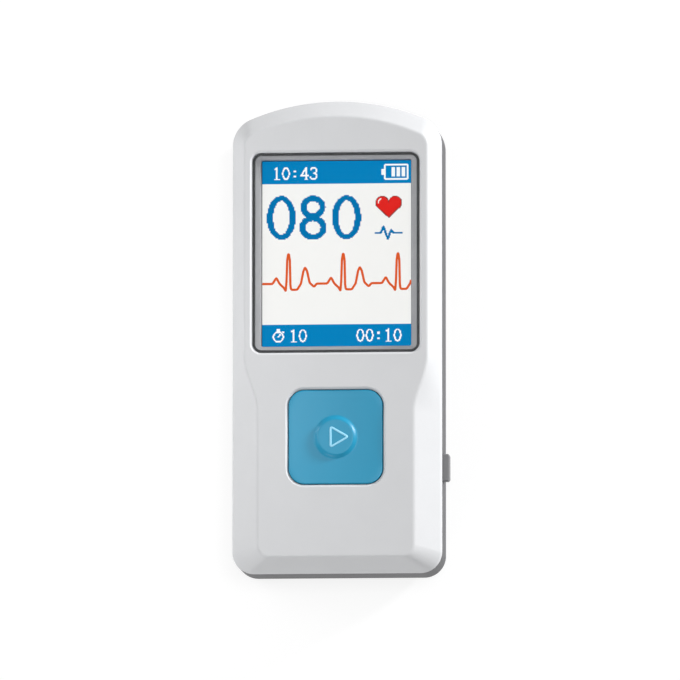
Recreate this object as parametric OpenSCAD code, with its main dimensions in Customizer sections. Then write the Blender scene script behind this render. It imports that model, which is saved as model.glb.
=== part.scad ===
// Hand-held ECG monitor. It lies on its back: X across, Y towards the top end, Z out of the screen.
// The origin is the middle of the flat back. All sizes are in millimetres.

/* [Layout] */
// Bottom end of the body to the lower edge of the play key
chin = 18.7; // [17:0.1:30]
// Upper edge of the play key to the lower edge of the screen window
bridge = 8.0; // [7:0.1:16]
// Upper edge of the screen window to the apex of the top end
forehead = 11.3; // [11:0.1:20]
// Side edge of the screen window to the side of the body
cheek = 4.45; // [4.2:0.05:8]

/* [Body] */
// Height of the rear shell, from the flat back to the parting line
rear_h = 15.0; // [14.5:0.1:20]
// Height of the front shell, from the parting line to the raised field
front_h = 5.0; // [4.8:0.1:7]
// Wall thickness of both shells
wall = 1.6; // [1.4:0.1:2]
// Radius of the arched top end
arch_r = 48; // [44:1:60]
// Radius between the arch and the sides
top_corner_r = 6.2; // [5:0.1:9]
// Radius of the two bottom corners
bottom_corner_r = 4.6; // [4.5:0.1:8]
// Radius of the edge round the flat back
back_edge_r = 4.0; // [2.5:0.1:4.2]
// Height of the tongue that the rear shell puts into the front shell
tongue_h = 0.7; // [0.5:0.1:0.8]
// Thickness of that tongue
tongue_t = 0.7; // [0.6:0.05:0.75]
// Clearance between the tongue and its groove
tongue_gap = 0.1; // [0.05:0.01:0.15]

/* [Raised field] */
// Width of the bevel beside the screen
bevel_side = 2.7; // [2.2:0.1:3]
// Width that the bevel gains beside the play key
neck_in = 2.9; // [0.5:0.1:4]
// Bottom end of the body to the start of the neck
neck_start = 34; // [30:0.5:38]
// Length of the neck's S-curve
neck_l = 12; // [8:0.5:16]
// Width of the bevel at the top end
bevel_top = 3.6; // [3:0.1:4.2]
// Width of the bevel at the bottom end
bevel_bottom = 3.2; // [2.6:0.1:5]
// Corner radius of the field at its top
field_top_r = 3.0; // [2:0.1:4]
// Corner radius of the field at its bottom
field_foot_r = 2.6; // [2:0.1:4]
// Height of the bevel's outer edge above the parting line
rim_h = 1.5; // [1.4:0.1:2]
// How much lower the bevel's outer edge lies at the bottom end
rim_drop = 0.8; // [0:0.1:0.8]
// Rounding where the bevel meets the side
rim_round = 0.5; // [0.3:0.1:0.6]
// Thickness of the field
field_t = 1.6; // [1.4:0.1:1.8]

/* [Screen] */
// Width of the window in the front shell
window_w = 35.7; // [35:0.1:44]
// Length of the window
window_l = 42.8; // [42.2:0.1:52]
// Corner radius of the window
window_r = 2.0; // [1:0.1:4]
// Chamfer round the window
window_chamfer = 0.4; // [0.1:0.05:0.4]
// Depth of the lens below the field
lens_recess = 0.2; // [0.1:0.05:0.3]
// Thickness of the lens
lens_t = 0.8; // [0.6:0.1:0.9]
// Gap between the lens and its window
lens_gap = 0.1; // [0.05:0.01:0.2]
// Thickness of the bezel's flange
bezel_t = 0.8; // [0.6:0.1:0.9]
// Width of the ledge that carries the bezel
ledge_w = 0.9; // [0.7:0.1:1.1]
// Thickness of that ledge
ledge_t = 0.8; // [0.6:0.1:1]
// Thickness of the foam gasket on the display
gasket_t = 0.4; // [0.3:0.1:0.6]
// Side edge of the window to the picture
bezel_side = 2.0; // [1.8:0.05:3]
// Upper or lower edge of the window to the picture
bezel_end = 1.6; // [1.5:0.05:3]
// Margin between the picture and the bezel's inner edge
picture_margin = 0.15; // [0.05:0.05:0.4]
// Border of the display module at its sides and top
module_border = 3.0; // [2.4:0.1:3.2]
// Border of the display module at its bottom, where the flex tail leaves
module_foot = 7.6; // [6:0.1:7.8]
// Thickness of the display module
module_t = 2.4; // [2.2:0.1:2.8]
// Thickness of the display glass
glass_t = 1.3; // [1:0.1:1.5]
// Wall of the tray that holds the glass
tray_wall = 1.2; // [1:0.1:1.4]
// Thickness of the adhesive strips under the tray
tape_t = 0.3; // [0.2:0.05:0.5]
// Width of the flex tail
flex_w = 16; // [12:0.5:18]
// Thickness of the flex tail
flex_t = 0.2; // [0.15:0.05:0.25]
// Length of the slope where the flex tail steps down
flex_slope = 2.2; // [1.5:0.1:2.5]
// Foot of the display module to the flex connector
flex_run = 3.2; // [3:0.1:4]
// Length of the flex connector
connector_l = 3.2; // [2.5:0.1:4]
// Height of the flex connector
connector_h = 1.1; // [1:0.1:1.5]

/* [Play key] */
// Width and length of the key
key_w = 20.0; // [18:0.1:21]
// Corner radius of the key
key_r = 3.4; // [2:0.1:5]
// Gap round the key
key_gap = 0.15; // [0.1:0.05:0.4]
// Chamfer round the key's opening
key_chamfer = 0.5; // [0.1:0.05:0.6]
// Travel of the key
key_travel = 0.5; // [0.3:0.05:0.6]
// Depth of the dish in the key
dish_depth = 0.5; // [0.2:0.05:0.7]
// Diameter of the raised centre at its flat top
dome_d = 7.2; // [5:0.1:10]
// Width of the raised centre's flank
dome_flank = 1.1; // [0.8:0.1:2]
// Height of the raised centre above the dish
dome_h = 0.6; // [0.3:0.05:0.8]
// Wall of the hollow key
key_wall = 1.2; // [1:0.1:1.6]
// Lip that keeps the key in its opening
key_lip = 0.9; // [0.7:0.1:1.1]
// Thickness of that lip
key_lip_t = 0.7; // [0.6:0.1:0.8]
// Diameter of the stem under the key
key_stem_d = 4.0; // [3.2:0.1:6]

/* [Side key] */
// Bottom end of the body to the middle of the side key
side_key_y = 22.7; // [18:0.1:28]
// Length of the side key along the body
side_key_l = 5.8; // [4:0.1:7]
// Height of the side key
side_key_h = 2.8; // [2:0.1:3]
// How far the side key stands out
side_key_out = 1.4; // [0.7:0.1:1.4]
// Chamfer on the side key's ends
side_key_chamfer = 0.35; // [0.1:0.05:0.6]
// Gap round the side key
side_key_gap = 0.15; // [0.1:0.05:0.2]
// Travel of the side key
side_travel = 0.4; // [0.2:0.05:0.5]
// Lip at each end of the side key, inside the wall
side_lip = 0.9; // [0.6:0.1:1.2]
// Thickness of that lip
side_lip_t = 0.6; // [0.5:0.1:0.8]

/* [Board] */
// Thickness of the main board
board_t = 1.2; // [0.8:0.1:1.6]
// Gap between the board and the rear shell's wall
board_gap = 0.4; // [0.3:0.1:0.6]
// Side of the square switch body
switch_w = 6.0; // [5:0.1:6.2]
// Height of the play switch body
switch_h = 2.0; // [1.8:0.1:2.1]
// Diameter of the switch plunger
plunger_d = 3.0; // [2.4:0.1:3.5]
// Gap round the switch plunger
plunger_gap = 0.05; // [0.03:0.01:0.1]
// Width of the side switch body along the board's edge
side_switch_l = 6.0; // [5:0.1:7]
// Depth of the side switch body
side_switch_d = 3.4; // [3:0.1:4]
// Middle of the board to the middle of each column of chips
chip_x = 8; // [7:0.5:9]
// Middle of the cell down to the processor and the ECG chip
chip_low = 9; // [7:0.5:10]
// Middle of the cell up to the buzzer and the memory chip
chip_high = 5; // [4:0.5:6]
// Middle of the cell down to the charger chip
charger_low = 18; // [17:0.5:19]
// Side of the processor
processor_w = 10; // [8:0.5:12]
// Height of the processor
processor_h = 1.4; // [1:0.1:1.6]
// Side of the ECG front-end chip
front_end_w = 7; // [5:0.5:9]
// Side of the memory chip
memory_w = 5.5; // [4:0.5:7]
// Side of the charger chip
charger_w = 3; // [2:0.5:4]
// Height of the smaller chips
chip_h = 1.0; // [0.8:0.1:1.4]
// Width of the clock crystal
crystal_w = 2.5; // [2:0.1:3]
// Length of the clock crystal
crystal_l = 5; // [4:0.5:6]
// Spacing of the passive parts
passive_pitch = 2.4; // [2.2:0.1:3]
// Length of a passive part
passive_l = 1.6; // [1:0.1:2]
// Width of a passive part
passive_w = 0.8; // [0.5:0.1:1]
// Height of a passive part
passive_h = 0.6; // [0.4:0.1:0.8]
// Side of the buzzer
buzzer_w = 9; // [7:0.5:10]
// Height of the buzzer
buzzer_h = 2.5; // [1.8:0.1:3]

/* [Battery] */
// Width of the flat cell
cell_w = 30; // [24:0.5:32]
// Length of the flat cell
cell_l = 40; // [30:0.5:42]
// Thickness of the flat cell
cell_t = 5.2; // [4:0.1:5.6]
// Thickness of the foam pad under the cell
pad_t = 0.4; // [0.3:0.05:0.6]
// Diameter of the cell's leads
lead_d = 1.0; // [0.8:0.1:1.4]

/* [Electrodes] */
// Thickness of the steel plates, which lie flush in the back
plate_t = 0.6; // [0.4:0.05:0.8]
// Width of the two lower plates
lower_plate_w = 12.5; // [8:0.5:14]
// Length of the two lower plates
lower_plate_l = 25; // [16:0.5:26]
// Space between the two lower plates
lower_plate_space = 8; // [6:0.5:12]
// Bottom end of the body to the middle of the lower plates
lower_plate_y = 24.5; // [24:0.5:28]
// Width of the upper plate
upper_plate_w = 27; // [16:0.5:30]
// Length of the upper plate
upper_plate_l = 11; // [8:0.5:12]
// Apex of the top end to the middle of the upper plate
upper_plate_y = 18.5; // [18:0.5:22]
// Corner radius of the plates
plate_r = 2.0; // [1:0.1:4]
// Gap round each plate
plate_gap = 0.1; // [0.05:0.05:0.2]
// Diameter of each plate's stud
stud_d = 2.4; // [1.8:0.1:3]
// Height of each stud's top above the back
stud_top = 7.6; // [6:0.1:8.5]

/* [Sockets] */
// Diameter of the lead socket's bore
jack_bore_d = 3.6; // [3.5:0.05:3.7]
// Length of the lead socket's bore
jack_bore_l = 11; // [9:0.1:12]
// Diameter of the lead socket's nose
jack_nose_d = 4.8; // [4.6:0.1:5]
// Width and height of the lead socket's body
jack_body = 5.2; // [5:0.1:6]
// Width of the USB socket
usb_w = 7.6; // [7:0.1:8]
// Height of the USB socket
usb_h = 2.8; // [2.6:0.1:3]
// Depth of the USB socket
usb_l = 6.2; // [5:0.1:8]
// Bottom end of the body to the middle of the USB socket
usb_y = 22.7; // [20:0.1:34]

/* [Fasteners] */
// Radius of the front shell's case-screw posts
post_r = 2.2; // [2:0.1:2.4]
// Side of the body to the case screws
post_side = 8.3; // [7.8:0.1:10]
// Bottom end of the body to the lower case screws
post_bottom = 7.3; // [7:0.1:8]
// Height where the rear tubes meet the front posts
post_split = 8.0; // [6:0.1:10]
// Diameter of the case screws
case_screw_d = 1.7; // [1.6:0.05:2]
// Length of the case screws under the head
case_screw_l = 9; // [7:0.5:10]
// Diameter of a case screw's head
case_head_d = 3.6; // [3.2:0.1:3.8]
// Height of a case screw's head
case_head_h = 1.2; // [1:0.1:1.6]
// Depth of the head's seat in the back
head_seat = 3.6; // [3:0.1:4.5]
// Radius of the board posts
board_post_r = 1.7; // [1.5:0.1:1.8]
// Middle of the board to the upper board screws
board_screw_x = 7.6; // [6.5:0.1:8]
// Diameter of the board screws
board_screw_d = 1.5; // [1.4:0.1:1.6]
// Length of the board screws under the head
board_screw_l = 3.7; // [3:0.1:4]
// Height of a board screw's head
board_head_h = 1.0; // [0.8:0.1:1.2]
// Diameter of a board screw's head
board_head_d = 2.8; // [2.4:0.1:3]

/* [Hidden] */

$fn = 48;
cut = 0.5;             // how far a cutter runs past the face that it opens
bite = 0.3;            // how deep a post or a rib is rooted in the wall that carries it
fit = 0.1;             // clearance of a screw in its hole, and of a part beside a part
corner_steps = 8;      // steps round each corner of an outline
side_steps = 16;       // steps along each side of an outline
arch_steps = 20;       // steps along the arch of an outline

// Overall sizes
body_w = window_w + 2 * cheek;
body_l = chin + key_w + bridge + window_l + forehead;
body_t = rear_h + front_h;
top_y = body_l / 2;
bottom_y = -body_l / 2;
window_cy = top_y - forehead - window_l / 2;
key_cy = bottom_y + chin + key_w / 2;

// Heights, from the field down
ceiling_z = body_t - field_t;
lens_z = body_t - lens_recess - lens_t;
ledge_z = lens_z - bezel_t;
ledge_under_z = ledge_z - ledge_t;
module_top_z = ledge_under_z - gasket_t;
module_z = module_top_z - module_t;
board_top_z = module_z - tape_t;
board_z = board_top_z - board_t;
rim_z = rear_h + rim_h;
pad_z = wall;
cell_z = pad_z + pad_t;

// Display module
picture_w = window_w - 2 * bezel_side;
picture_l = window_l - 2 * bezel_end;
module_w = picture_w + 2 * module_border;
module_top_y = window_cy + picture_l / 2 + module_border;
module_foot_y = window_cy - picture_l / 2 - module_foot;
module_l = module_top_y - module_foot_y;
module_cy = (module_top_y + module_foot_y) / 2;
glass_w = module_w - 2 * tray_wall;
glass_l = module_l - 2 * tray_wall;

// Play key
key_lip_w = key_w + 2 * key_lip;
key_lip_z = ceiling_z - fit - key_lip_t;
plunger_top_z = board_top_z + switch_h + key_travel + fit;

// Side key: its inner face, and the switch behind it
side_cy = bottom_y + side_key_y;
side_z = board_z - fit - side_key_h / 2 - 0.35;
side_wall_x = body_w / 2 - wall;
side_lip_x = side_wall_x - fit - side_lip_t;
side_switch_x = side_lip_x - side_travel - fit;
side_lip_h = side_key_h + 2 * side_key_gap + 0.3;

// Screws
post_x = body_w / 2 - post_side;
post_gap = 0.3;
post_top_y = module_top_y + post_gap + post_r;
post_low_y = bottom_y + post_bottom;
case_points = [for (sx = [-1, 1], y = [post_low_y, post_top_y]) [sx * post_x, y]];
board_low_x = key_lip_w / 2 + post_gap + board_post_r + 2;
board_low_y = module_foot_y - post_gap - board_post_r;
board_high_y = post_top_y + 1;
board_points = [for (sx = [-1, 1]) each
                [[sx * board_low_x, board_low_y], [sx * board_screw_x, board_high_y]]];
board_foot_y = post_low_y + post_r + board_gap;

// Sockets
jack_z = board_z - jack_body / 2;
jack_nose_y = top_y - 0.3;
jack_body_y = top_y - wall - fit;
usb_cy = bottom_y + usb_y;
usb_z = board_z - usb_h / 2;

// Electrodes
lower_cy = bottom_y + lower_plate_y;
upper_cy = top_y - upper_plate_y;
lower_x = (lower_plate_space + lower_plate_w) / 2;
stud_points = [[-lower_x, lower_cy], [lower_x, lower_cy], [0, upper_cy]];
stud_boss_r = stud_d / 2 + 1.2;
stud_boss_z = wall + 2.4;

// Battery, above the lower studs, with room for the leads to turn up to their plug
lead_bend_r = 2.2;
lead_run = 3;
lead_x = 1.5;
plug_h = 3.4;
plug_cy = lower_cy + 4;
cell_low_y = plug_cy + lead_bend_r + lead_run;
cell_cy = cell_low_y + cell_l / 2;

// ---------------------------------------------------------------- outlines and lofts

// Points on an arc, from angle a0 to a1, both ends included
function arc(cx, cy, r, a0, a1, steps) =
    [for (i = [0:steps]) let (a = a0 + (a1 - a0) * i / steps) [cx + r * cos(a), cy + r * sin(a)]];

// A smooth step from 0 to 1 while t runs from 0 to 1
function ease(t) = let (c = min(max(t, 0), 1)) c * c * (3 - 2 * c);

// The right half of an outline, up to its apex, mirrored to a closed ring
function both_sides(right) =
    concat(right, [for (i = [len(right) - 2:-1:0]) [-right[i][0], right[i][1]]]);

// Half of an arched end: a corner of radius r at half-width hw, then an arc about (0, cy)
function arched_end(hw, cy, big_r, r, inset) =
    let (cx = hw - r)
    let (corner_y = cy + sqrt(pow(big_r - r, 2) - cx * cx))
    let (turn = atan2(corner_y - cy, cx))
    let (arch = arc(0, cy, big_r - inset, turn, 90, arch_steps / 2))
    concat(arc(cx, corner_y, r - inset, 0, turn, corner_steps),
           [for (i = [1:len(arch) - 2]) arch[i]],
           [[0, cy + big_r - inset]]);

arch_cy = top_y - arch_r;

// Height of the straight side's upper end, for the body and for the field
function corner_y(hw, big_r, r) = arch_cy + sqrt(pow(big_r - r, 2) - pow(hw - r, 2));
body_side_y = corner_y(body_w / 2, arch_r, top_corner_r);
field_side_y = corner_y(body_w / 2 - bevel_side, arch_r - bevel_top, field_top_r);
body_foot_y = bottom_y + bottom_corner_r;
field_foot_y = bottom_y + bevel_bottom + field_foot_r;

// Places along the side, from 0 at its foot to 1 at its top, closer together on the neck
neck_0 = (bottom_y + neck_start - field_foot_y) / (field_side_y - field_foot_y);
neck_1 = (bottom_y + neck_start + neck_l - field_foot_y) / (field_side_y - field_foot_y);
side_places = concat([neck_0 / 2], [for (i = [0:side_steps - 4])
                     neck_0 + (neck_1 - neck_0) * i / (side_steps - 4)], [(neck_1 + 1) / 2]);

// The body's outline, drawn in by inset
function body_outline(inset) =
    let (hw = body_w / 2)
    both_sides(concat(
        arc(hw - bottom_corner_r, body_foot_y, bottom_corner_r - inset, -90, 0, corner_steps),
        [for (t = side_places) [hw - inset, body_foot_y + t * (body_side_y - body_foot_y)]],
        arched_end(hw, arch_cy, arch_r, top_corner_r, inset)));

// The raised field's outline, drawn in by inset: wide beside the screen, narrow beside the key
function field_outline(inset) =
    let (hw = body_w / 2 - bevel_side)
    let (low = hw - neck_in)
    both_sides(concat(
        arc(low - field_foot_r, field_foot_y, field_foot_r - inset, -90, 0, corner_steps),
        [for (t = side_places)
            [low - inset + neck_in * ease((t - neck_0) / (neck_1 - neck_0)),
             field_foot_y + t * (field_side_y - field_foot_y)]],
        arched_end(hw, arch_cy, arch_r - bevel_top, field_top_r, inset)));

// How far the bevel's outer edge is lowered at each point of an outline
foot_points = corner_steps + 1;
outline_n = len(body_outline(0));
function drop_at(i) =
    let (from_seam = min(i, outline_n - 1 - i))
    rim_drop * (1 - min(from_seam, foot_points - 1) / (foot_points - 1));

// An outline at height z, and the bevel's outer edge with its drop
function level(outline, z) = [for (p = outline) [p[0], p[1], z]];
function dropped(outline, z) = [for (i = [0:len(outline) - 1])
                                [outline[i][0], outline[i][1], z - drop_at(i)]];

// A rounded rectangle as a ring of points
function box_ring(w, l, r, z, cx = 0, cy = 0, steps = 6) =
    [for (q = [[1, -1, -90], [1, 1, 0], [-1, 1, 90], [-1, -1, 180]])
        for (p = arc(cx + q[0] * (w / 2 - r), cy + q[1] * (l / 2 - r), r, q[2], q[2] + 90, steps))
            [p[0], p[1], z]];

// A closed solid through rings of equal length, listed from the lowest to the highest
module loft(rings) {
    n = len(rings[0]);
    last = len(rings) - 1;
    sides = [for (k = [0:last - 1], i = [0:n - 1]) let (j = (i + 1) % n) each
             [[k * n + i, (k + 1) * n + i, (k + 1) * n + j], [k * n + i, (k + 1) * n + j, k * n + j]]];
    caps = [[for (i = [0:n - 1]) i], [for (i = [n - 1:-1:0]) last * n + i]];
    polyhedron(points = [for (ring = rings) each ring], faces = concat(sides, caps));
}

// ---------------------------------------------------------------- shared plain shapes

// A flat rounded rectangle of exact arcs
module rounded_rect(w, l, r) {
    square([w - 2 * r, l], center = true);
    square([w, l - 2 * r], center = true);
    for (sx = [-1, 1], sy = [-1, 1])
        translate([sx * (w / 2 - r), sy * (l / 2 - r)]) circle(r);
}

// A rounded slab from height z0 to z1 about (0, cy)
module slab(w, l, r, z0, z1, cy = 0, cx = 0) {
    translate([cx, cy, z0]) linear_extrude(z1 - z0) rounded_rect(w, l, r);
}

// A plain block about (cx, cy), from height z0 to z1
module block(w, l, z0, z1, cx = 0, cy = 0) {
    translate([cx - w / 2, cy - l / 2, z0]) cube([w, l, z1 - z0]);
}

// An upright round post or hole at a point, from height z0 to z1
module post(p, r, z0, z1) {
    translate([p[0], p[1], z0]) cylinder(h = z1 - z0, r = r);
}

// A cutter for an opening through the field, from height z0, with a chamfer at its mouth
module mouth(w, l, r, chamfer, z0, cy) {
    grow = chamfer + cut;
    loft([box_ring(w, l, r, z0, 0, cy),
          box_ring(w, l, r, body_t - chamfer, 0, cy),
          box_ring(w + 2 * grow, l + 2 * grow, r + grow, body_t + cut, 0, cy)]);
}

// ---------------------------------------------------------------- shells

// The front shell's outer form: field, bevel, rounded rim and side
module front_form() {
    loft([level(body_outline(0), rear_h),
          dropped(body_outline(0), rim_z - rim_round * 1.2),
          dropped(body_outline(rim_round * 0.3), rim_z - rim_round * 0.5),
          dropped(body_outline(rim_round), rim_z),
          level(field_outline(0), body_t)]);
}

// The hollow in the front shell, less the frame that carries the bezel
module front_hollow() {
    frame = 1.6;
    difference() {
        loft([level(body_outline(wall), rear_h - cut),
              level(body_outline(wall), rim_z - 0.7),
              level(field_outline(1.9), ceiling_z + 1)]);
        block(body_w, body_l, ceiling_z, body_t + cut);
        block(body_w, window_l + 2 * frame, ledge_under_z, body_t, 0, window_cy);
    }
}

// A band of the body's outline between two insets
module outline_band(outer, inner, z0, z1) {
    translate([0, 0, z0]) linear_extrude(z1 - z0)
        difference() {
            polygon(body_outline(outer));
            polygon(body_outline(inner));
        }
}

module front_shell() {
    key_open = key_w + 2 * key_gap;
    color("gainsboro") difference() {
        union() {
            difference() {
                front_form();
                front_hollow();
            }
            for (p = case_points) post(p, post_r, post_split + fit / 2, ceiling_z + bite);
            for (p = board_points) post(p, board_post_r, board_top_z, ceiling_z + bite);
        }
        // Groove for the rear shell's tongue
        outline_band(wall - tongue_t - tongue_gap * 2, wall + cut, rear_h - cut,
                     rear_h + tongue_h + tongue_gap);
        // Lens pocket with its chamfer, and the opening in the ledge
        mouth(window_w, window_l, window_r, window_chamfer, ledge_z, window_cy);
        slab(window_w - 2 * ledge_w, window_l - 2 * ledge_w, window_r - ledge_w / 2,
             ledge_under_z - cut, ledge_z + cut, window_cy);
        // Play key opening with its chamfer
        mouth(key_open, key_open, key_r + key_gap, key_chamfer, ceiling_z - cut, key_cy);
        // Pilot holes
        for (p = case_points)
            post(p, (case_screw_d + fit) / 2, post_split - cut, head_seat + case_screw_l + 1);
        for (p = board_points)
            post(p, (board_screw_d + fit) / 2, board_top_z - cut, board_z + board_screw_l + fit);
    }
}

// The rear shell's outer form: flat back, rounded edge and upright sides
module rear_form() {
    turns = [for (a = [0:15:90]) a];
    loft(concat([for (a = turns) level(body_outline(back_edge_r * (1 - sin(a))),
                                      back_edge_r * (1 - cos(a)))],
                [level(body_outline(0), rear_h)]));
}

// Low ribs that keep the flat cell in place
module cell_ribs() {
    rib = 0.9;
    rib_h = 2.4;
    for (sx = [-1, 1], sy = [-1, 1])
        block(rib, cell_l / 4, wall - bite, wall + rib_h,
              sx * (cell_w / 2 + post_gap + rib / 2), cell_cy + sy * cell_l * 3 / 8);
    for (sy = [-1, 1])
        block(cell_w / 3, rib, wall - bite, wall + rib_h,
              -cell_w / 4 * sy, cell_cy + sy * (cell_l / 2 + post_gap + rib / 2));
}

module rear_shell() {
    inner_corner = 1.2;
    color("dimgray") difference() {
        union() {
            difference() {
                rear_form();
                loft([level(body_outline(wall + inner_corner), wall),
                      level(body_outline(wall), wall + inner_corner),
                      level(body_outline(wall), rear_h + cut)]);
            }
            outline_band(wall - tongue_t - tongue_gap, wall - tongue_gap,
                         rear_h - bite, rear_h + tongue_h);
            for (p = case_points) post(p, case_head_d / 2 + 0.9, wall - bite, post_split - fit / 2);
            for (p = stud_points) post(p, stud_boss_r, wall - bite, stud_boss_z);
            cell_ribs();
        }
        // Case screws: seat for the head, and a clear hole
        for (p = case_points) {
            post(p, (case_head_d + 2 * fit) / 2, -cut, head_seat);
            post(p, case_screw_d / 2 + fit, head_seat - cut, post_split + cut);
        }
        // Electrode recesses and the holes for their studs
        electrode_plates(plate_gap, -cut, plate_t);
        for (p = stud_points) post(p, stud_d / 2 + fit, -cut, stud_boss_z + cut);
        // Side key
        translate([side_wall_x - cut, side_cy, side_z])
            rotate([90, 0, 90]) linear_extrude(wall + 2 * cut)
                square([side_key_l + 2 * side_key_gap, side_key_h + 2 * side_key_gap], center = true);
        // USB socket
        translate([-body_w / 2 - cut, usb_cy, usb_z])
            rotate([90, 0, 90]) linear_extrude(wall + 2 * cut)
                rounded_rect(usb_w + 2 * fit, usb_h + 2 * fit, 0.6);
        // Nose of the lead socket
        translate([0, top_y - wall - cut, jack_z])
            rotate([-90, 0, 0]) cylinder(h = wall + 2 * cut, d = jack_nose_d + 2 * fit);
    }
}

// ---------------------------------------------------------------- screen

module screen_lens() {
    color("lightcyan", 0.4)
        slab(window_w - 2 * lens_gap, window_l - 2 * lens_gap, window_r - lens_gap,
             lens_z, lens_z + lens_t, window_cy);
}

module screen_bezel() {
    rim = 0.3;
    foot_z = module_top_z + fit;
    open_w = picture_w + 2 * picture_margin;
    open_l = picture_l + 2 * picture_margin;
    top_w = window_w - 2 * (lens_gap + rim);
    top_l = window_l - 2 * (lens_gap + rim);
    slope = (top_w - open_w) / 2 / (lens_z - foot_z);
    color("darkgray") difference() {
        union() {
            slab(window_w - 2 * lens_gap, window_l - 2 * lens_gap, window_r - lens_gap,
                 ledge_z, lens_z, window_cy);
            slab(window_w - 2 * (ledge_w + lens_gap), window_l - 2 * (ledge_w + lens_gap),
                 window_r - ledge_w / 2 - lens_gap, foot_z, ledge_z + bite, window_cy);
        }
        loft([box_ring(open_w, open_l, 0.4, foot_z - cut, 0, window_cy),
              box_ring(open_w, open_l, 0.4, foot_z + 0.05, 0, window_cy),
              box_ring(top_w, top_l, window_r - lens_gap - rim, lens_z, 0, window_cy),
              box_ring(top_w, top_l, window_r - lens_gap - rim, lens_z + cut, 0, window_cy)]);
    }
}

module display_gasket() {
    gasket_w = 1.2;
    inner_w = window_w - 2 * ledge_w + 2 * fit;
    inner_l = window_l - 2 * ledge_w + 2 * fit;
    color("dimgray") difference() {
        slab(inner_w + 2 * gasket_w, inner_l + 2 * gasket_w, window_r, module_top_z,
             ledge_under_z, window_cy);
        slab(inner_w, inner_l, window_r - ledge_w / 2, module_top_z - cut, ledge_under_z + cut,
             window_cy);
    }
}

module display_glass() {
    color("royalblue")
        block(glass_w - fit, glass_l - fit, module_top_z - glass_t, module_top_z, 0, module_cy);
}

module display_tray() {
    floor_z = module_top_z - glass_t;
    color("whitesmoke") difference() {
        block(module_w, module_l, module_z, module_top_z, 0, module_cy);
        block(glass_w, glass_l, floor_z, module_top_z + cut, 0, module_cy);
        block(flex_w + 1, 2 * tray_wall + cut, floor_z - flex_t - fit, module_top_z + cut,
              0, module_foot_y);
    }
}

module display_tape() {
    tape_w = 4;
    color("khaki") for (sx = [-1, 1])
        block(tape_w, module_l - 8, board_top_z, module_z, sx * (module_w / 2 - tape_w), module_cy);
}

// The flex tail leaves the tray under the glass and steps down to its connector
flex_top_z = module_top_z - glass_t;
flex_in_y = module_foot_y + tray_wall;
flex_lead = 0.6;
connector_y = module_foot_y - flex_run - connector_l / 2;
flex_low_z = board_top_z + connector_h / 2 + flex_t / 2;

module display_flex() {
    entry_y = connector_y + connector_l / 2;
    top = [[flex_in_y, flex_top_z], [module_foot_y - flex_lead, flex_top_z],
           [module_foot_y - flex_lead - flex_slope, flex_low_z],
           [entry_y - connector_l * 0.3, flex_low_z]];
    under = [for (i = [len(top) - 1:-1:0]) [top[i][0], top[i][1] - flex_t]];
    color("orange") translate([-flex_w / 2, 0, 0]) rotate([90, 0, 90]) linear_extrude(flex_w)
        polygon(concat(top, under));
}

module flex_connector() {
    color("ivory") difference() {
        block(flex_w + 2, connector_l, board_top_z, board_top_z + connector_h, 0, connector_y);
        block(flex_w + fit, connector_l, flex_low_z - flex_t - 0.05, flex_low_z + 0.05,
              0, connector_y + connector_l * 0.66);
    }
}

// ---------------------------------------------------------------- board and what it carries

module main_board() {
    color("seagreen") translate([0, 0, board_z]) linear_extrude(board_t) difference() {
        intersection() {
            polygon(body_outline(wall + board_gap));
            translate([-body_w / 2, board_foot_y]) square([body_w, body_l]);
        }
        for (p = case_points) translate(p) circle(post_r + board_gap);
        for (p = board_points) translate(p) circle(board_screw_d / 2 + fit);
    }
}

// A flat chip under the board
module chip(w, l, h, cx, cy) {
    color("black") block(w, l, board_z - h, board_z, cx, cy);
}

// The chips lie in two columns, between the buzzer at the top and the cell plug below
module processor() { chip(processor_w, processor_w, processor_h, -chip_x, cell_cy - chip_low); }
module ecg_front_end() { chip(front_end_w, front_end_w, chip_h, chip_x, cell_cy - chip_low); }
module memory_chip() { chip(memory_w, memory_w, chip_h, chip_x, cell_cy + chip_high); }
module charger_chip() { chip(charger_w, charger_w, chip_h, -chip_x, cell_cy - charger_low); }
module clock_crystal() {
    color("silver") block(crystal_w, crystal_l, board_z - chip_h, board_z, 0, cell_cy - chip_low);
}

module board_passives() {
    color("tan") for (column = [-2.5:2.5], row = [0:1])
        block(passive_l, passive_w, board_z - passive_h, board_z, chip_x + column * passive_pitch,
              cell_cy + chip_high + memory_w + 1 + row * passive_pitch);
}

module buzzer() {
    p = [-chip_x, cell_cy + chip_high];
    hole_r = buzzer_w / 9;
    color("black") difference() {
        block(buzzer_w, buzzer_w, board_z - buzzer_h, board_z, p[0], p[1]);
        post(p, hole_r, board_z - buzzer_h - cut, board_z - buzzer_h / 2);
    }
}

module play_switch() {
    color("dimgray") difference() {
        block(switch_w, switch_w, board_top_z, board_top_z + switch_h, 0, key_cy);
        post([0, key_cy], plunger_d / 2 + plunger_gap, board_top_z + switch_h - 1.2,
             board_top_z + switch_h + cut);
    }
}

module play_plunger() {
    color("beige") post([0, key_cy], plunger_d / 2, board_top_z + switch_h - 1.2 + key_travel + fit,
                        plunger_top_z);
}

// The side switch lies under the board's edge, with its plunger towards the side key
module side_switch() {
    h = 2 * (board_z - side_z);
    color("dimgray") difference() {
        block(side_switch_d, side_switch_l, board_z - h, board_z,
              side_switch_x - side_switch_d / 2, side_cy);
        translate([side_switch_x - 1.2, side_cy, side_z]) rotate([0, 90, 0])
            cylinder(h = 1.2 + cut, r = 0.9 + plunger_gap);
    }
}

module side_plunger() {
    color("beige") translate([side_switch_x - 1.2 + side_travel + fit, side_cy, side_z])
        rotate([0, 90, 0]) cylinder(h = side_lip_x - side_switch_x + 1.2 - side_travel - fit, r = 0.9);
}

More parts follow.
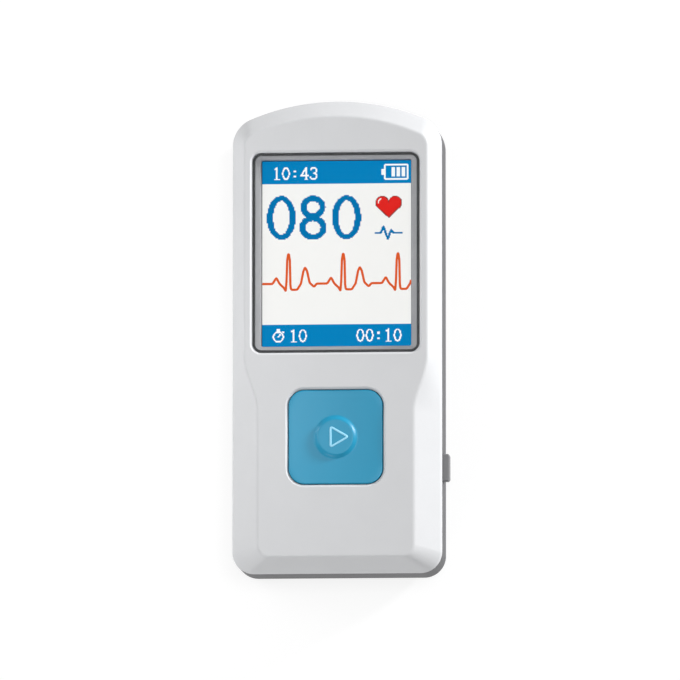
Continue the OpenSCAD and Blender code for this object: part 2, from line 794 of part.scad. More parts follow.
module usb_socket() {
    skin = 0.4;
    front_x = -body_w / 2 + 0.4;
    color("silver") translate([front_x, usb_cy, usb_z]) rotate([90, 0, 90]) {
        difference() {
            linear_extrude(usb_l) rounded_rect(usb_w, usb_h, 0.5);
            translate([0, 0, -cut]) linear_extrude(usb_l - skin + cut)
                rounded_rect(usb_w - 2 * skin, usb_h - 2 * skin, 0.3);
        }
        translate([0, 0.15, 1]) linear_extrude(usb_l - 1 - skin / 2)
            square([usb_w * 0.6, 0.7], center = true);
    }
}

module lead_socket() {
    body_len = jack_bore_l + 1.2 - (jack_nose_y - jack_body_y);
    color("black") difference() {
        union() {
            block(jack_body, body_len, jack_z - jack_body / 2, board_z, 0,
                  jack_body_y - body_len / 2);
            translate([0, jack_body_y - bite, jack_z]) rotate([-90, 0, 0])
                cylinder(h = jack_nose_y - jack_body_y + bite, d = jack_nose_d);
        }
        translate([0, jack_nose_y - jack_bore_l, jack_z]) rotate([-90, 0, 0])
            cylinder(h = jack_bore_l + cut, d = jack_bore_d);
    }
}

// ---------------------------------------------------------------- battery

module cell() {
    color("silver") slab(cell_w, cell_l, 1.5, cell_z, cell_z + cell_t, cell_cy);
}

module cell_pad() {
    color("dimgray") block(cell_w - 6, cell_l - 8, pad_z, cell_z, 0, cell_cy);
}

// Two leads leave the cell's lower end and turn up to their plug
lead_z = cell_z + cell_t / 2;
module cell_leads() {
    for (sx = [-1, 1]) color(sx > 0 ? "red" : "black") translate([sx * lead_x, 0, 0]) {
        translate([0, cell_low_y, lead_z]) rotate([90, 0, 0]) cylinder(h = lead_run, d = lead_d);
        translate([0, plug_cy + lead_bend_r, lead_z + lead_bend_r]) rotate([0, -90, 0])
            rotate_extrude(angle = 90, start = 180) translate([lead_bend_r, 0]) circle(d = lead_d);
        translate([0, plug_cy, lead_z + lead_bend_r])
            cylinder(h = board_z - plug_h - lead_z - lead_bend_r, d = lead_d);
    }
}

module cell_plug() {
    color("white") block(2 * lead_x + 3, 4, board_z - plug_h, board_z, 0, plug_cy);
}

// ---------------------------------------------------------------- electrodes

// The three plates, larger by gap all round, from height z0 to z1
module electrode_plates(gap, z0, z1) {
    for (sx = [-1, 1]) lower_plate(sx, gap, z0, z1);
    upper_plate(gap, z0, z1);
}

module lower_plate(sx, gap, z0, z1) {
    slab(lower_plate_w + 2 * gap, lower_plate_l + 2 * gap, plate_r + gap, z0, z1,
         lower_cy, sx * lower_x);
}

module upper_plate(gap, z0, z1) {
    slab(upper_plate_w + 2 * gap, upper_plate_l + 2 * gap, plate_r + gap, z0, z1, upper_cy);
}

module left_electrode() {
    color("lightsteelblue") {
        lower_plate(-1, 0, 0, plate_t);
        post(stud_points[0], stud_d / 2, plate_t - bite, stud_top);
    }
}

module right_electrode() {
    color("lightsteelblue") {
        lower_plate(1, 0, 0, plate_t);
        post(stud_points[1], stud_d / 2, plate_t - bite, stud_top);
    }
}

module upper_electrode() {
    color("lightsteelblue") {
        upper_plate(0, 0, plate_t);
        post(stud_points[2], stud_d / 2, plate_t - bite, stud_top);
    }
}

// Spring pins between the board and the studs: a barrel and a thinner tip
module contact_pins() {
    tip_l = (board_z - stud_top) * 0.4;
    color("goldenrod") for (p = stud_points) {
        post(p, 1.1, stud_top + tip_l, board_z);
        post(p, 0.7, stud_top, stud_top + tip_l + bite);
    }
}

// ---------------------------------------------------------------- fasteners

// A pan-head screw that points up, with the underside of its head at z and a cross recess
module screw(p, d, l, head_d, head_h, z) {
    recess = head_d * 0.6;
    difference() {
        union() {
            post(p, head_d / 2, z - head_h, z);
            post(p, d / 2, z - bite, z + l);
        }
        for (turn = [0, 90]) translate([p[0], p[1], z - head_h]) rotate([0, 0, turn])
            cube([recess, recess / 4, head_h], center = true);
    }
}

module case_screws() {
    color("silver") for (p = case_points)
        screw(p, case_screw_d, case_screw_l, case_head_d, case_head_h, head_seat);
}

module board_screws() {
    color("silver") for (p = board_points)
        screw(p, board_screw_d, board_screw_l, board_head_d, board_head_h, board_z);
}

// ---------------------------------------------------------------- keys

// Height of the play key's face at a distance from its middle: a dish with a raised centre
function key_face(d) =
    let (reach = key_w / sqrt(2))
    body_t - dish_depth * (1 - pow(d / reach, 2))
    + dome_h * (1 - ease((d - dome_d / 2) / dome_flank));

// Everything above the play key's face
module key_face_cutter() {
    reach = key_w;
    flat = [0];
    flank = [for (i = [0:8]) dome_d / 2 + dome_flank * i / 8];
    dish = [for (i = [1:6]) dome_d / 2 + dome_flank + (reach - dome_d / 2 - dome_flank) * i / 6];
    radii = concat(flat, flank, dish);
    translate([0, key_cy, 0]) rotate_extrude()
        polygon(concat([for (d = radii) [d, key_face(d)]],
                       [[reach, body_t + 4], [0, body_t + 4]]));
}

module play_key() {
    edge = 0.3;
    roof_z = body_t - dish_depth - 1.3;
    color("steelblue") {
        difference() {
            union() {
                loft([box_ring(key_w, key_w, key_r, key_lip_z, 0, key_cy),
                      box_ring(key_w, key_w, key_r, body_t - edge, 0, key_cy),
                      box_ring(key_w - edge, key_w - edge, key_r - edge / 2,
                               body_t - edge / 4, 0, key_cy),
                      box_ring(key_w - 2 * edge, key_w - 2 * edge, key_r - edge,
                               body_t + 1, 0, key_cy)]);
                slab(key_lip_w, key_lip_w, key_r, key_lip_z, key_lip_z + key_lip_t, key_cy);
            }
            key_face_cutter();
            slab(key_w - 2 * key_wall, key_w - 2 * key_wall, key_r - key_wall,
                 key_lip_z - cut, roof_z, key_cy);
        }
        post([0, key_cy], key_stem_d / 2, plunger_top_z, roof_z + bite);
    }
}

module side_key() {
    half = side_key_l / 2;
    out_x = body_w / 2 + side_key_out;
    c = side_key_chamfer;
    color("gray") {
        translate([0, side_cy, side_z - side_key_h / 2]) linear_extrude(side_key_h)
            polygon([[side_lip_x, -half], [out_x - c, -half], [out_x, -half + c],
                     [out_x, half - c], [out_x - c, half], [side_lip_x, half]]);
        block(side_lip_t, side_key_l + 2 * side_lip, side_z - side_lip_h / 2,
              side_z + side_lip_h / 2, side_lip_x + side_lip_t / 2, side_cy);
    }
}

front_shell();
rear_shell();
screen_lens();
screen_bezel();
display_gasket();
display_glass();
display_tray();
display_tape();
display_flex();
flex_connector();
main_board();
processor();
ecg_front_end();
memory_chip();
charger_chip();
clock_crystal();
board_passives();
buzzer();
play_switch();
side_switch();
usb_socket();
lead_socket();
cell();
cell_pad();
cell_leads();
cell_plug();
left_electrode();
right_electrode();
upper_electrode();
contact_pins();
case_screws();
board_screws();
play_key();
play_plunger();
side_key();
side_plunger();
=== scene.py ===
"""Looks of a palm-size heart monitor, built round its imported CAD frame.

The monitor lies on its back: X across, Y towards the arched top end, Z out of the screen.
Sizes are in millimetres until a mesh is made. Meshes are in metres.
"""

import logging
import math
from collections.abc import Callable, Iterable, Sequence
from dataclasses import dataclass, field
from enum import Enum

import bpy
from mathutils import Matrix, Vector


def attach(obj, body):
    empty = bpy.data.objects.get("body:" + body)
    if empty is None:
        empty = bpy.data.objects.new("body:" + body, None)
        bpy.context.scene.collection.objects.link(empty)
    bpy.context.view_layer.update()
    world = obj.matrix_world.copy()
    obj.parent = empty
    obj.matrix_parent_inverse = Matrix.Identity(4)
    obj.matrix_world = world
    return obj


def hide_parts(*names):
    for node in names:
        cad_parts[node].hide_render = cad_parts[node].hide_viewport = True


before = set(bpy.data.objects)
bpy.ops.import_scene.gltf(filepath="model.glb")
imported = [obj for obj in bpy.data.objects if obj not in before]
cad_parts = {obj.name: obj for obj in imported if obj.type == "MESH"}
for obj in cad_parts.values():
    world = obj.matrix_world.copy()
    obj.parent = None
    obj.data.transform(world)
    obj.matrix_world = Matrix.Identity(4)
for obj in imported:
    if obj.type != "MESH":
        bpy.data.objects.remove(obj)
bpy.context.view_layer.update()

MM = 0.001
CREASE = math.radians(27.0)
KEY_CREASE = math.radians(35)
HOUSING = "housing"

Spot = tuple[float, float]
Point = tuple[float, float, float]
Flat = list[Spot]
Ring = list[Point]
Piece = bpy.types.Object
Node = bpy.types.Node
Socket = bpy.types.NodeSocket
Tree = bpy.types.NodeTree

log = logging.getLogger("heart_monitor")


# --- small tools


def linear(colour: str) -> tuple[float, float, float, float]:
    """Turns an sRGB hex colour to the linear values, with alpha 1, that a shader takes."""
    parts = [int(colour[i:i + 2], 16) / 255 for i in (1, 3, 5)]
    return *(v / 12.92 if v <= 0.04045 else ((v + 0.055) / 1.055) ** 2.4 for v in parts), 1.0


def plug(tree: Tree, made: Node, inputs: dict) -> None:
    """Sets or links a node's inputs.

    Args:
        tree: The node's tree.
        made: The node.
        inputs: Values or sockets, by the inputs' names or indices.
    """
    for key, value in inputs.items():
        if isinstance(value, Socket):
            tree.links.new(value, made.inputs[key])
        else:
            made.inputs[key].default_value = value


def node(tree: Tree, kind: str, inputs: dict | None = None, **settings: object) -> Node:
    """Adds a node with its settings and links.

    Args:
        tree: The node tree to add to.
        kind: The node's type name.
        inputs: Values or sockets for the inputs, by name or index.
        **settings: The node's own properties.

    Returns:
        The new node.
    """
    made = tree.nodes.new(kind)
    for name, value in settings.items():
        setattr(made, name, value)
    plug(tree, made, inputs or {})
    return made


def bare_tree(owner: bpy.types.Material | bpy.types.World) -> Tree:
    """Empties the node tree of a material or a world.

    Args:
        owner: The material or world.

    Returns:
        Its tree.
    """
    owner.use_nodes = True
    owner.node_tree.nodes.clear()
    return owner.node_tree


def link(thing: Piece) -> Piece:
    """Puts an object into the scene and returns it."""
    bpy.context.scene.collection.objects.link(thing)
    return thing


def settle(piece: Piece) -> Piece:
    """Turns a piece with its modifiers into a plain mesh.

    Args:
        piece: The piece, whose modifiers are removed.

    Returns:
        The same object with its new mesh, or for a curve a new object of the same name.
    """
    graph = bpy.context.evaluated_depsgraph_get()
    mesh = bpy.data.meshes.new_from_object(piece.evaluated_get(graph),
                                           preserve_all_data_layers=True, depsgraph=graph)
    piece.modifiers.clear()
    if piece.type == "MESH":
        old, piece.data = piece.data, mesh
        bpy.data.meshes.remove(old)
        return piece
    name = piece.name
    bpy.data.objects.remove(piece)
    return link(bpy.data.objects.new(name, mesh))


def smooth(piece: Piece, crease: float = CREASE) -> Piece:
    """Shades a piece smooth, with flat faces kept flat and real edges kept sharp.

    Args:
        piece: The piece to shade.
        crease: The angle in radians past which an edge stays sharp.

    Returns:
        The same object.
    """
    piece.data.shade_smooth()
    piece.data.set_sharp_from_angle(angle=crease)
    normals = piece.modifiers.new("flat faces first", "WEIGHTED_NORMAL")
    normals.keep_sharp = True
    normals.weight = 80
    return settle(piece)


# --- outlines and rings


def arc(cx: float, cy: float, radius: float, start: float, end: float, steps: int) -> Flat:
    """Points along an arc between two angles in degrees, both ends included."""
    turns = (math.radians(start + (end - start) * i / steps) for i in range(steps + 1))
    return [(cx + radius * math.cos(a), cy + radius * math.sin(a)) for a in turns]


def ease(t: float) -> float:
    """A smooth step from 0 to 1."""
    t = min(max(t, 0.0), 1.0)
    return t * t * (3 - 2 * t)


def mirrored(*spots: Spot) -> Flat:
    """Places on the right side with their mirror images, which come first."""
    return [(side * x, y) for side in (-1, 1) for x, y in spots]


def level(outline: Flat, z: float) -> Ring:
    """A flat outline at a height."""
    return [(x, y, z) for x, y in outline]


def blend_rings(first: Ring, last: Ring, t: float) -> Ring:
    """The ring at a share t of the way from first to last."""
    return [tuple(a + (b - a) * t for a, b in zip(p, q)) for p, q in zip(first, last)]


def fillet(first: Ring, corner: Ring, last: Ring, steps: int) -> list[Ring]:
    """Rings that round a sharp corner between two rings, both of them included."""
    return [blend_rings(blend_rings(first, corner, k / steps),
                        blend_rings(corner, last, k / steps), k / steps) for k in range(steps + 1)]


def rounded_path(points: Flat, trim: float, closed: bool, steps: int = 8) -> Flat:
    """Rounds the corners of a line.

    Args:
        points: The line's corners.
        trim: How far each rounding reaches along its two sides, at most 0.45 of a side.
        closed: Whether the line returns to its start. If not, its two ends are left out.
        steps: How many steps round each corner.

    Returns:
        The line's points.
    """
    corners = list(zip(points[-1:] + points[:-1], points, points[1:] + points[:1]))
    path: Flat = []
    for before, tip, after in corners if closed else corners[1:-1]:
        ends = []
        for other in (before, after):
            share = min(trim / math.dist(tip, other), 0.45)
            ends.append(tuple(t + (o - t) * share for t, o in zip(tip, other)))
        for k in range(steps + 1):
            t = k / steps
            path.append(tuple((1 - t) ** 2 * a + 2 * t * (1 - t) * c + t * t * b
                              for a, c, b in zip(ends[0], tip, ends[1])))
    return path


def rounded_box(width: float, length: float, radius: float, z: float,
                centre: Spot = (0.0, 0.0), corner: int = 10, side: int = 1) -> Ring:
    """A rounded rectangle as a ring.

    Args:
        width: Its size along the first axis.
        length: Its size along the second axis.
        radius: The corner radius.
        z: Its height.
        centre: Its middle.
        corner: Steps round each corner.
        side: Steps along each side.

    Returns:
        The ring, counter-clockwise from above.
    """
    radius = max(radius, 0.01)
    ends = ((1, -1, -90), (1, 1, 0), (-1, 1, 90), (-1, -1, 180))
    corners = [arc(centre[0] + sx * (width / 2 - radius), centre[1] + sy * (length / 2 - radius),
                   radius, turn, turn + 90, corner) for sx, sy, turn in ends]
    points: Flat = []
    for here, following in zip(corners, corners[1:] + corners[:1]):
        (x0, y0), (x1, y1) = here[-1], following[0]
        points += here + [(x0 + (x1 - x0) * k / side, y0 + (y1 - y0) * k / side)
                          for k in range(1, side)]
    return level(points, z)


def boxed(width: float, length: float, radius: float, steps: Iterable[Spot],
          corner: int = 10) -> list[Ring]:
    """Rounded rectangles, one for each step of how much larger it is and at what height."""
    return [rounded_box(width + 2 * grow, length + 2 * grow, radius + grow, z, corner=corner)
            for grow, z in steps]


def mouth(width: float, length: float, radius: float, chamfer: float, depth: float,
          corner: int = 12) -> list[Ring]:
    """Rings of a cutter for a rounded opening with a chamfer, in its own axes.

    Args:
        width: The opening's width.
        length: Its length.
        radius: Its corner radius.
        chamfer: The chamfer's width.
        depth: How deep it goes below the face.
        corner: Steps round each corner.

    Returns:
        The rings, from the deepest to just above the face.
    """
    # The small numbers break the chamfer's two edges, and the last ring clears the face.
    return boxed(width, length, radius, (
        (0.0, -depth), (0.0, -chamfer - 0.04), (0.012, -chamfer), (0.04, -chamfer + 0.04),
        (chamfer - 0.03, -0.03), (chamfer + 0.015, -0.006), (chamfer + 0.12, 0.05)), corner)


def turned(outline: Iterable[Spot], centre: Spot = (0.0, 0.0), steps: int = 48) -> list[Ring]:
    """Circles, counter-clockwise from above, for an outline of radius and height."""
    return [level(arc(*centre, radius, 0, 360 - 360 / steps, steps - 1), z)
            for radius, z in outline]


class Facing(Enum):
    """Which way a feature on the body faces. The values are its own axes: u, v and outwards."""

    UP = ((1, 0, 0), (0, 1, 0), (0, 0, 1))
    RIGHT = ((0, 1, 0), (0, 0, 1), (1, 0, 0))
    LEFT = ((0, -1, 0), (0, 0, 1), (-1, 0, 0))
    TOP_END = ((-1, 0, 0), (0, 0, 1), (0, 1, 0))
    BACK = ((1, 0, 0), (0, -1, 0), (0, 0, -1))

    def place(self, rings: Iterable[Ring], origin: Point) -> list[Ring]:
        """Turns rings from the feature's own axes and origin to the body's."""
        u, v, out = self.value
        return [[tuple(origin[k] + p[0] * u[k] + p[1] * v[k] + p[2] * out[k] for k in range(3))
                 for p in ring] for ring in rings]


class Carving(Enum):
    """What a tool solid does to the solid that it meets."""

    CUT = "DIFFERENCE"
    JOIN = "UNION"


@dataclass
class Solid:
    """Closed shells being built, in millimetres."""

    points: list[Point] = field(default_factory=list)
    faces: list[tuple[int, ...]] = field(default_factory=list)

    def loft(self, rings: Sequence[Ring], looped: bool = False) -> "Solid":
        """Adds a shell through rings of equal length.

        Args:
            rings: The rings, in an order that runs up the outside of the shell.
            looped: Whether the last ring joins the first, as on a frame, and not two end caps.

        Returns:
            This solid.
        """
        start, count, total = len(self.points), len(rings[0]), len(rings)
        for ring in rings:
            self.points.extend(ring)
        for k in range(total if looped else total - 1):
            low, high = start + k * count, start + (k + 1) % total * count
            self.faces += [(low + i, low + (i + 1) % count, high + (i + 1) % count, high + i)
                           for i in range(count)]
        if not looped:
            self.faces.append(tuple(start + i for i in reversed(range(count))))
            self.faces.append(tuple(start + (total - 1) * count + i for i in range(count)))
        return self

    def block(self, low: Point, high: Point) -> "Solid":
        """Adds a plain block between two corners and returns this solid."""
        (x0, y0, z0), (x1, y1, z1) = low, high
        return self.loft([level([(x0, y0), (x1, y0), (x1, y1), (x0, y1)], z) for z in (z0, z1)])

    def piece(self, name: str) -> Piece:
        """Makes an object in metres.

        Args:
            name: The object's name.

        Returns:
            The object, at the origin.
        """
        mesh = bpy.data.meshes.new(name)
        mesh.from_pydata([tuple(v * MM for v in p) for p in self.points], [], self.faces)
        mesh.validate()
        return link(bpy.data.objects.new(name, mesh))


def carve(base: Piece, tool: Solid, how: Carving) -> Piece:
    """Cuts a solid out of a piece, or joins it on.

    Args:
        base: The piece.
        tool: The solid, whose shells don't overlap each other.
        how: Whether to cut or to join.

    Returns:
        The piece with its new mesh.
    """
    other = tool.piece("carving tool")
    change = base.modifiers.new("carve", "BOOLEAN")
    change.operation = how.value
    change.solver = "EXACT"
    change.object = other
    settle(base)
    bpy.data.objects.remove(other)
    return base


# --- finishes


@dataclass(frozen=True)
class Coat:
    """A material's nodes, and what the finishes add to them."""

    tree: Tree
    surface: Node

    def add(self, kind: str, inputs: dict, **settings: object) -> Node:
        """Adds a shader node and returns it."""
        return node(self.tree, "ShaderNode" + kind, inputs, **settings)

    def set(self, inputs: dict) -> None:
        """Sets or links the surface's inputs."""
        plug(self.tree, self.surface, inputs)

    def place(self, scale: Point = (1.0, 1.0, 1.0)) -> Socket:
        """The object's own coordinates in metres, each axis scaled."""
        where = self.add("TexCoord", {}).outputs["Object"]
        return self.add("Mapping", {"Vector": where, "Scale": scale}).outputs["Vector"]

    def noise(self, size: float, scale: Point = (1.0, 1.0, 1.0), **inputs: float) -> Socket:
        """Soft patches of a size in millimetres."""
        return self.add("TexNoise", {"Vector": self.place(scale), "Scale": 1 / (size * MM),
                                     **inputs}).outputs["Fac"]

    def spread(self, share: Socket, low: float, high: float, reach: Spot) -> Socket:
        """Maps a share within its reach to values between low and high."""
        return self.add("MapRange", {"Value": share, "From Min": reach[0], "From Max": reach[1],
                                     "To Min": low, "To Max": high}).outputs["Result"]

    def bump(self, height: Socket, depth: float, strength: float = 1.0) -> None:
        """Bumps the surface by a share, the strength, of a real depth in millimetres."""
        made = self.add("Bump", {"Height": height, "Distance": depth * MM, "Strength": strength})
        self.set({"Normal": made.outputs["Normal"]})


@dataclass(frozen=True)
class Finish:
    """What every finish has: its name, the record's slot, its colour and its roughness."""

    name: str
    slot: str
    colour: str
    roughness: float

    def material(self) -> bpy.types.Material:
        """The finish as a material, made once.

        Returns:
            The material.
        """
        if self.name in bpy.data.materials:
            return bpy.data.materials[self.name]
        made = bpy.data.materials.new(self.name)
        made.diffuse_color = linear(self.colour)
        tree = bare_tree(made)
        surface = node(tree, "ShaderNodeBsdfPrincipled", {
            "Base Color": linear(self.colour), "Roughness": self.roughness})
        node(tree, "ShaderNodeOutputMaterial", {"Surface": surface.outputs["BSDF"]})
        self.detail(Coat(tree, surface))
        return made

    def detail(self, coat: Coat) -> None:
        """Adds what this kind of finish has beyond its colour."""

    def roughen(self, coat: Coat, share: Socket, less: float, more: float,
                reach: Spot = (0.0, 1.0)) -> None:
        """Makes the roughness uneven, from less to more than the finish's own."""
        low, high = self.roughness - less, self.roughness + more
        coat.set({"Roughness": coat.spread(share, low, high, reach)})


@dataclass(frozen=True)
class MouldedPlastic(Finish):
    """ABS or nylon, injection moulded in a spark-eroded tool: even, satin, with a fine grain."""

    grain: float = 0.3
    grain_depth: float = 0.006
    patch: float = 7.0
    patch_depth: float = 0.012

    def detail(self, coat: Coat) -> None:
        """Adds the tool's grain, and a roughness and colour that aren't quite even.

        Args:
            coat: The material's nodes.
        """
        patches = coat.noise(self.patch, Detail=3.0, Roughness=0.6)
        share = coat.spread(patches, 1 - self.patch_depth, 1 + self.patch_depth, (0.3, 0.7))
        tint = coat.add("VectorMath", {0: linear(self.colour)[:3], "Scale": share},
                        operation="SCALE")
        coat.set({"Base Color": tint.outputs["Vector"]})
        # Real spark grain is about 0.1 mm, drawn three times as coarse so that it shows.
        grain = coat.noise(self.grain, Detail=2.0, Roughness=0.55)
        self.roughen(coat, grain, less=0.04, more=0.06, reach=(0.25, 0.75))
        coat.bump(grain, self.grain_depth)


@dataclass(frozen=True)
class ClearAcrylic(Finish):
    """Cast acrylic with a hard coat: clear, with sharp faint reflections."""

    alpha: float = 0.14
    smear: float = 9.0

    def detail(self, coat: Coat) -> None:
        """Makes it clear, and lets the light through to what lies under it."""
        # The pane is thin, so light isn't bent in it, which would show a second picture.
        coat.set({"IOR": 1.0, "Transmission Weight": 1.0, "Coat Weight": 1.0, "Coat IOR": 1.49,
                  "Alpha": self.alpha})
        self.roughen(coat, coat.noise(self.smear, Detail=4.0), less=0.0, more=0.05,
                     reach=(0.4, 0.8))


@dataclass(frozen=True)
class LitPixels(Finish):
    """A backlit colour display: mostly its own light, and a little of the room's."""

    glow: float = 0.88
    pitch: float = 0.18

    def detail(self, coat: Coat) -> None:
        """Adds the glow, with the pixel rows' faint lines.

        Args:
            coat: The material's nodes.
        """
        *own, _ = linear(self.colour)
        rest = 1 - self.glow
        coat.set({"Base Color": (*(v * rest for v in own), 1), "Specular IOR Level": 0.0,
                  "Emission Color": (*own, 1), "Emission Strength": self.glow})
        bands_per_unit = 3.18  # of a wave texture at scale 1
        rows = coat.add("TexWave", {
            "Vector": coat.place(), "Scale": 1 / (self.pitch * MM) / bands_per_unit,
            "Distortion": 0.0}, wave_type="BANDS", bands_direction="Y")
        coat.bump(rows.outputs["Fac"], depth=0.002, strength=0.3)


@dataclass(frozen=True)
class BrushedSteel(Finish):
    """Stainless sheet, blanked and brushed along its length: long fine lines that catch light."""

    line: float = 0.12
    length: float = 9.0

    def detail(self, coat: Coat) -> None:
        """Adds the brush lines to the roughness and the bump.

        Args:
            coat: The material's nodes.
        """
        coat.set({"Metallic": 1.0, "Anisotropic": 0.5})
        # Real brush lines are 0.03 mm apart, drawn four times as coarse so that they show.
        lines = coat.noise(1.0, (1 / self.line, 1 / self.length, 1 / self.line),
                           Detail=3.0, Roughness=0.6)
        self.roughen(coat, lines, less=0.08, more=0.1, reach=(0.3, 0.7))
        coat.bump(lines, depth=0.004, strength=0.6)


@dataclass(frozen=True)
class PlatedMetal(Finish):
    """Steel or brass with a thin bright plating: smooth, with small tool marks."""

    mark: float = 0.25

    def detail(self, coat: Coat) -> None:
        """Makes it metal with faint marks.

        Args:
            coat: The material's nodes.
        """
        coat.set({"Metallic": 1.0})
        marks = coat.noise(self.mark, Detail=2.0)
        self.roughen(coat, marks, less=0.05, more=0.1)
        coat.bump(marks, depth=0.003, strength=0.5)


@dataclass(frozen=True)
class CellFoam(Finish):
    """Closed-cell foam, cut from sheet: dull, with small open bubbles on the cut."""

    cell: float = 0.35

    def detail(self, coat: Coat) -> None:
        """Adds the cut bubbles."""
        cells = coat.add("TexVoronoi", {"Vector": coat.place(), "Scale": 1 / (self.cell * MM)})
        coat.bump(cells.outputs["Distance"], depth=0.06, strength=0.7)


@dataclass(frozen=True)
class MaskedBoard(Finish):
    """Glass-fibre board under solder mask: tracks show through as slightly lighter lines."""

    track: str = "#1F7A3C"
    pitch: float = 1.27

    def detail(self, coat: Coat) -> None:
        """Draws the tracks as staggered lines, a little raised.

        Args:
            coat: The material's nodes.
        """
        own = linear(self.colour)
        tracks = coat.add("TexBrick", {
            "Vector": coat.place(), "Color1": own, "Color2": own, "Mortar": linear(self.track),
            "Scale": 1 / MM, "Mortar Size": self.pitch * 0.11, "Mortar Smooth": 0.1,
            "Brick Width": self.pitch * 4, "Row Height": self.pitch})
        coat.set({"Base Color": tracks.outputs["Color"]})
        coat.bump(tracks.outputs["Fac"], depth=0.03, strength=0.6)


@dataclass(frozen=True)
class FoilPouch(Finish):
    """Aluminium laminate, heat-sealed over a cell: dull silver with soft wrinkles."""

    fold: float = 4.0

    def detail(self, coat: Coat) -> None:
        """Adds the wrinkles, twice as long as they are wide.

        Args:
            coat: The material's nodes.
        """
        coat.set({"Metallic": 0.85})
        folds = coat.noise(self.fold, (1.0, 0.5, 1.0), Detail=3.0, Distortion=0.8)
        coat.bump(folds, depth=0.25, strength=0.6)


SHELL_WHITE = MouldedPlastic("satin moulded ABS, pale silver", "shell_white", "#D0D1D3", 0.54)
SHELL_GREY = MouldedPlastic("textured moulded ABS, dark grey", "shell_grey", "#4E4E51", 0.55,
                            grain=0.4, grain_depth=0.012)
KEY_BLUE = MouldedPlastic("satin moulded ABS, blue", "key_blue", "#1992B8", 0.38, grain=0.25,
                          grain_depth=0.003)
KEY_GREY = MouldedPlastic("satin moulded ABS, mid grey", "side_key_grey", "#838385", 0.5)
KEY_PRINT = MouldedPlastic("pad-printed ink, pale blue", "key_blue", "#9ADDF8", 0.5,
                           patch_depth=0.004)
BEZEL_GREY = MouldedPlastic("satin moulded ABS, bezel grey", "bezel_grey", "#96979A", 0.5,
                            grain=0.2, grain_depth=0.002)
LENS_CLEAR = ClearAcrylic("hard-coated acrylic", "lens_clear", "#FBFCFC", 0.02)
# A dark ring under the lens's edge: painted shade that stands for the dark gap between the lens
# and the shell.
LENS_GAP_SHADE = MouldedPlastic("screen-printed ink, dark grey", "bezel_grey", "#1E2124", 0.45)
BLACK_GLASS = MouldedPlastic("display glass, black border", "display_face", "#141516", 0.15)
TRAY_WHITE = MouldedPlastic("moulded polycarbonate, white", "tray_white", "#E0E0DC", 0.45)
TAPE = MouldedPlastic("adhesive strip, amber", "tape_clear", "#D2C896", 0.35)
FLEX = MouldedPlastic("polyimide film, orange", "flex_orange", "#C4742A", 0.3, grain_depth=0.001)
NYLON_IVORY = MouldedPlastic("moulded nylon, ivory", "connector_ivory", "#E4DFCC", 0.5)
NYLON_CREAM = MouldedPlastic("moulded nylon, cream", "plunger_cream", "#DDD3B4", 0.5)
CHIP_BLACK = MouldedPlastic("moulded epoxy, black", "chip_black", "#26272A", 0.6, grain=0.15)
SOCKET_BLACK = MouldedPlastic("moulded nylon, black", "chip_black", "#242528", 0.45)
CERAMIC = MouldedPlastic("fired ceramic, tan", "passive_tan", "#AA8A6A", 0.6, grain=0.12)
LEAD_SKIN = MouldedPlastic("silicone lead, red", "lead_skin", "#9A2020", 0.4)
FOAM = CellFoam("closed-cell foam, dark", "foam_dark", "#34353A", 0.9)
BOARD = MaskedBoard("glass-fibre board, green mask", "board_green", "#14612C", 0.35)
POUCH = FoilPouch("foil pouch, silver", "cell_silver", "#C9CBCE", 0.32)
STEEL = BrushedSteel("brushed stainless steel", "electrode_steel", "#C8C9CC", 0.3)
NICKEL = PlatedMetal("bright nickel plate", "metal_bright", "#D6D4D0", 0.2)
GOLD = PlatedMetal("gold flash on brass", "pin_gold", "#E0BA70", 0.22)


def lit(name: str, colour: str) -> LitPixels:
    """Lit pixels of a colour."""
    return LitPixels("lit pixels, " + name, "display_face", colour, 0.3)


class Ink(Enum):
    """The display's colours."""

    PAPER = lit("white", "#F5F5F3")
    BLUE = lit("bar blue", "#0080BE")
    DIGIT = lit("digit blue", "#0072AE")
    WHITE = lit("mark white", "#FBFDFD")
    RED = lit("red", "#E0241F")
    DARK_RED = lit("dark red", "#7E3434")
    ORANGE = lit("orange", "#DC5A28")


def fit_out(piece: Piece, finish: Finish, body: str, *nodes: str) -> Piece:
    """Gives a piece its finish, its body and the CAD nodes that it stands for.

    Args:
        piece: The finished piece.
        finish: Its finish.
        body: The CAD body that it moves with.
        *nodes: The CAD nodes that it replaces.

    Returns:
        The same object.
    """
    if not piece.data.materials:
        piece.data.materials.append(finish.material())
    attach(piece, body)
    if nodes:
        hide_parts(*nodes)
    log.info("%s: %d faces, %s, rides on %s", piece.name, len(piece.data.polygons), finish.name,
             body)
    return piece


def dress(finish: Finish, *nodes: str) -> None:
    """Gives CAD nodes, whose shapes are right, a better material.

    Args:
        finish: The finish.
        *nodes: The nodes' names.
    """
    for name in nodes:
        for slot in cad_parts[name].material_slots:
            slot.material = finish.material()
        log.info("%s: CAD solid in %s", name, finish.name)


# --- geometry trees


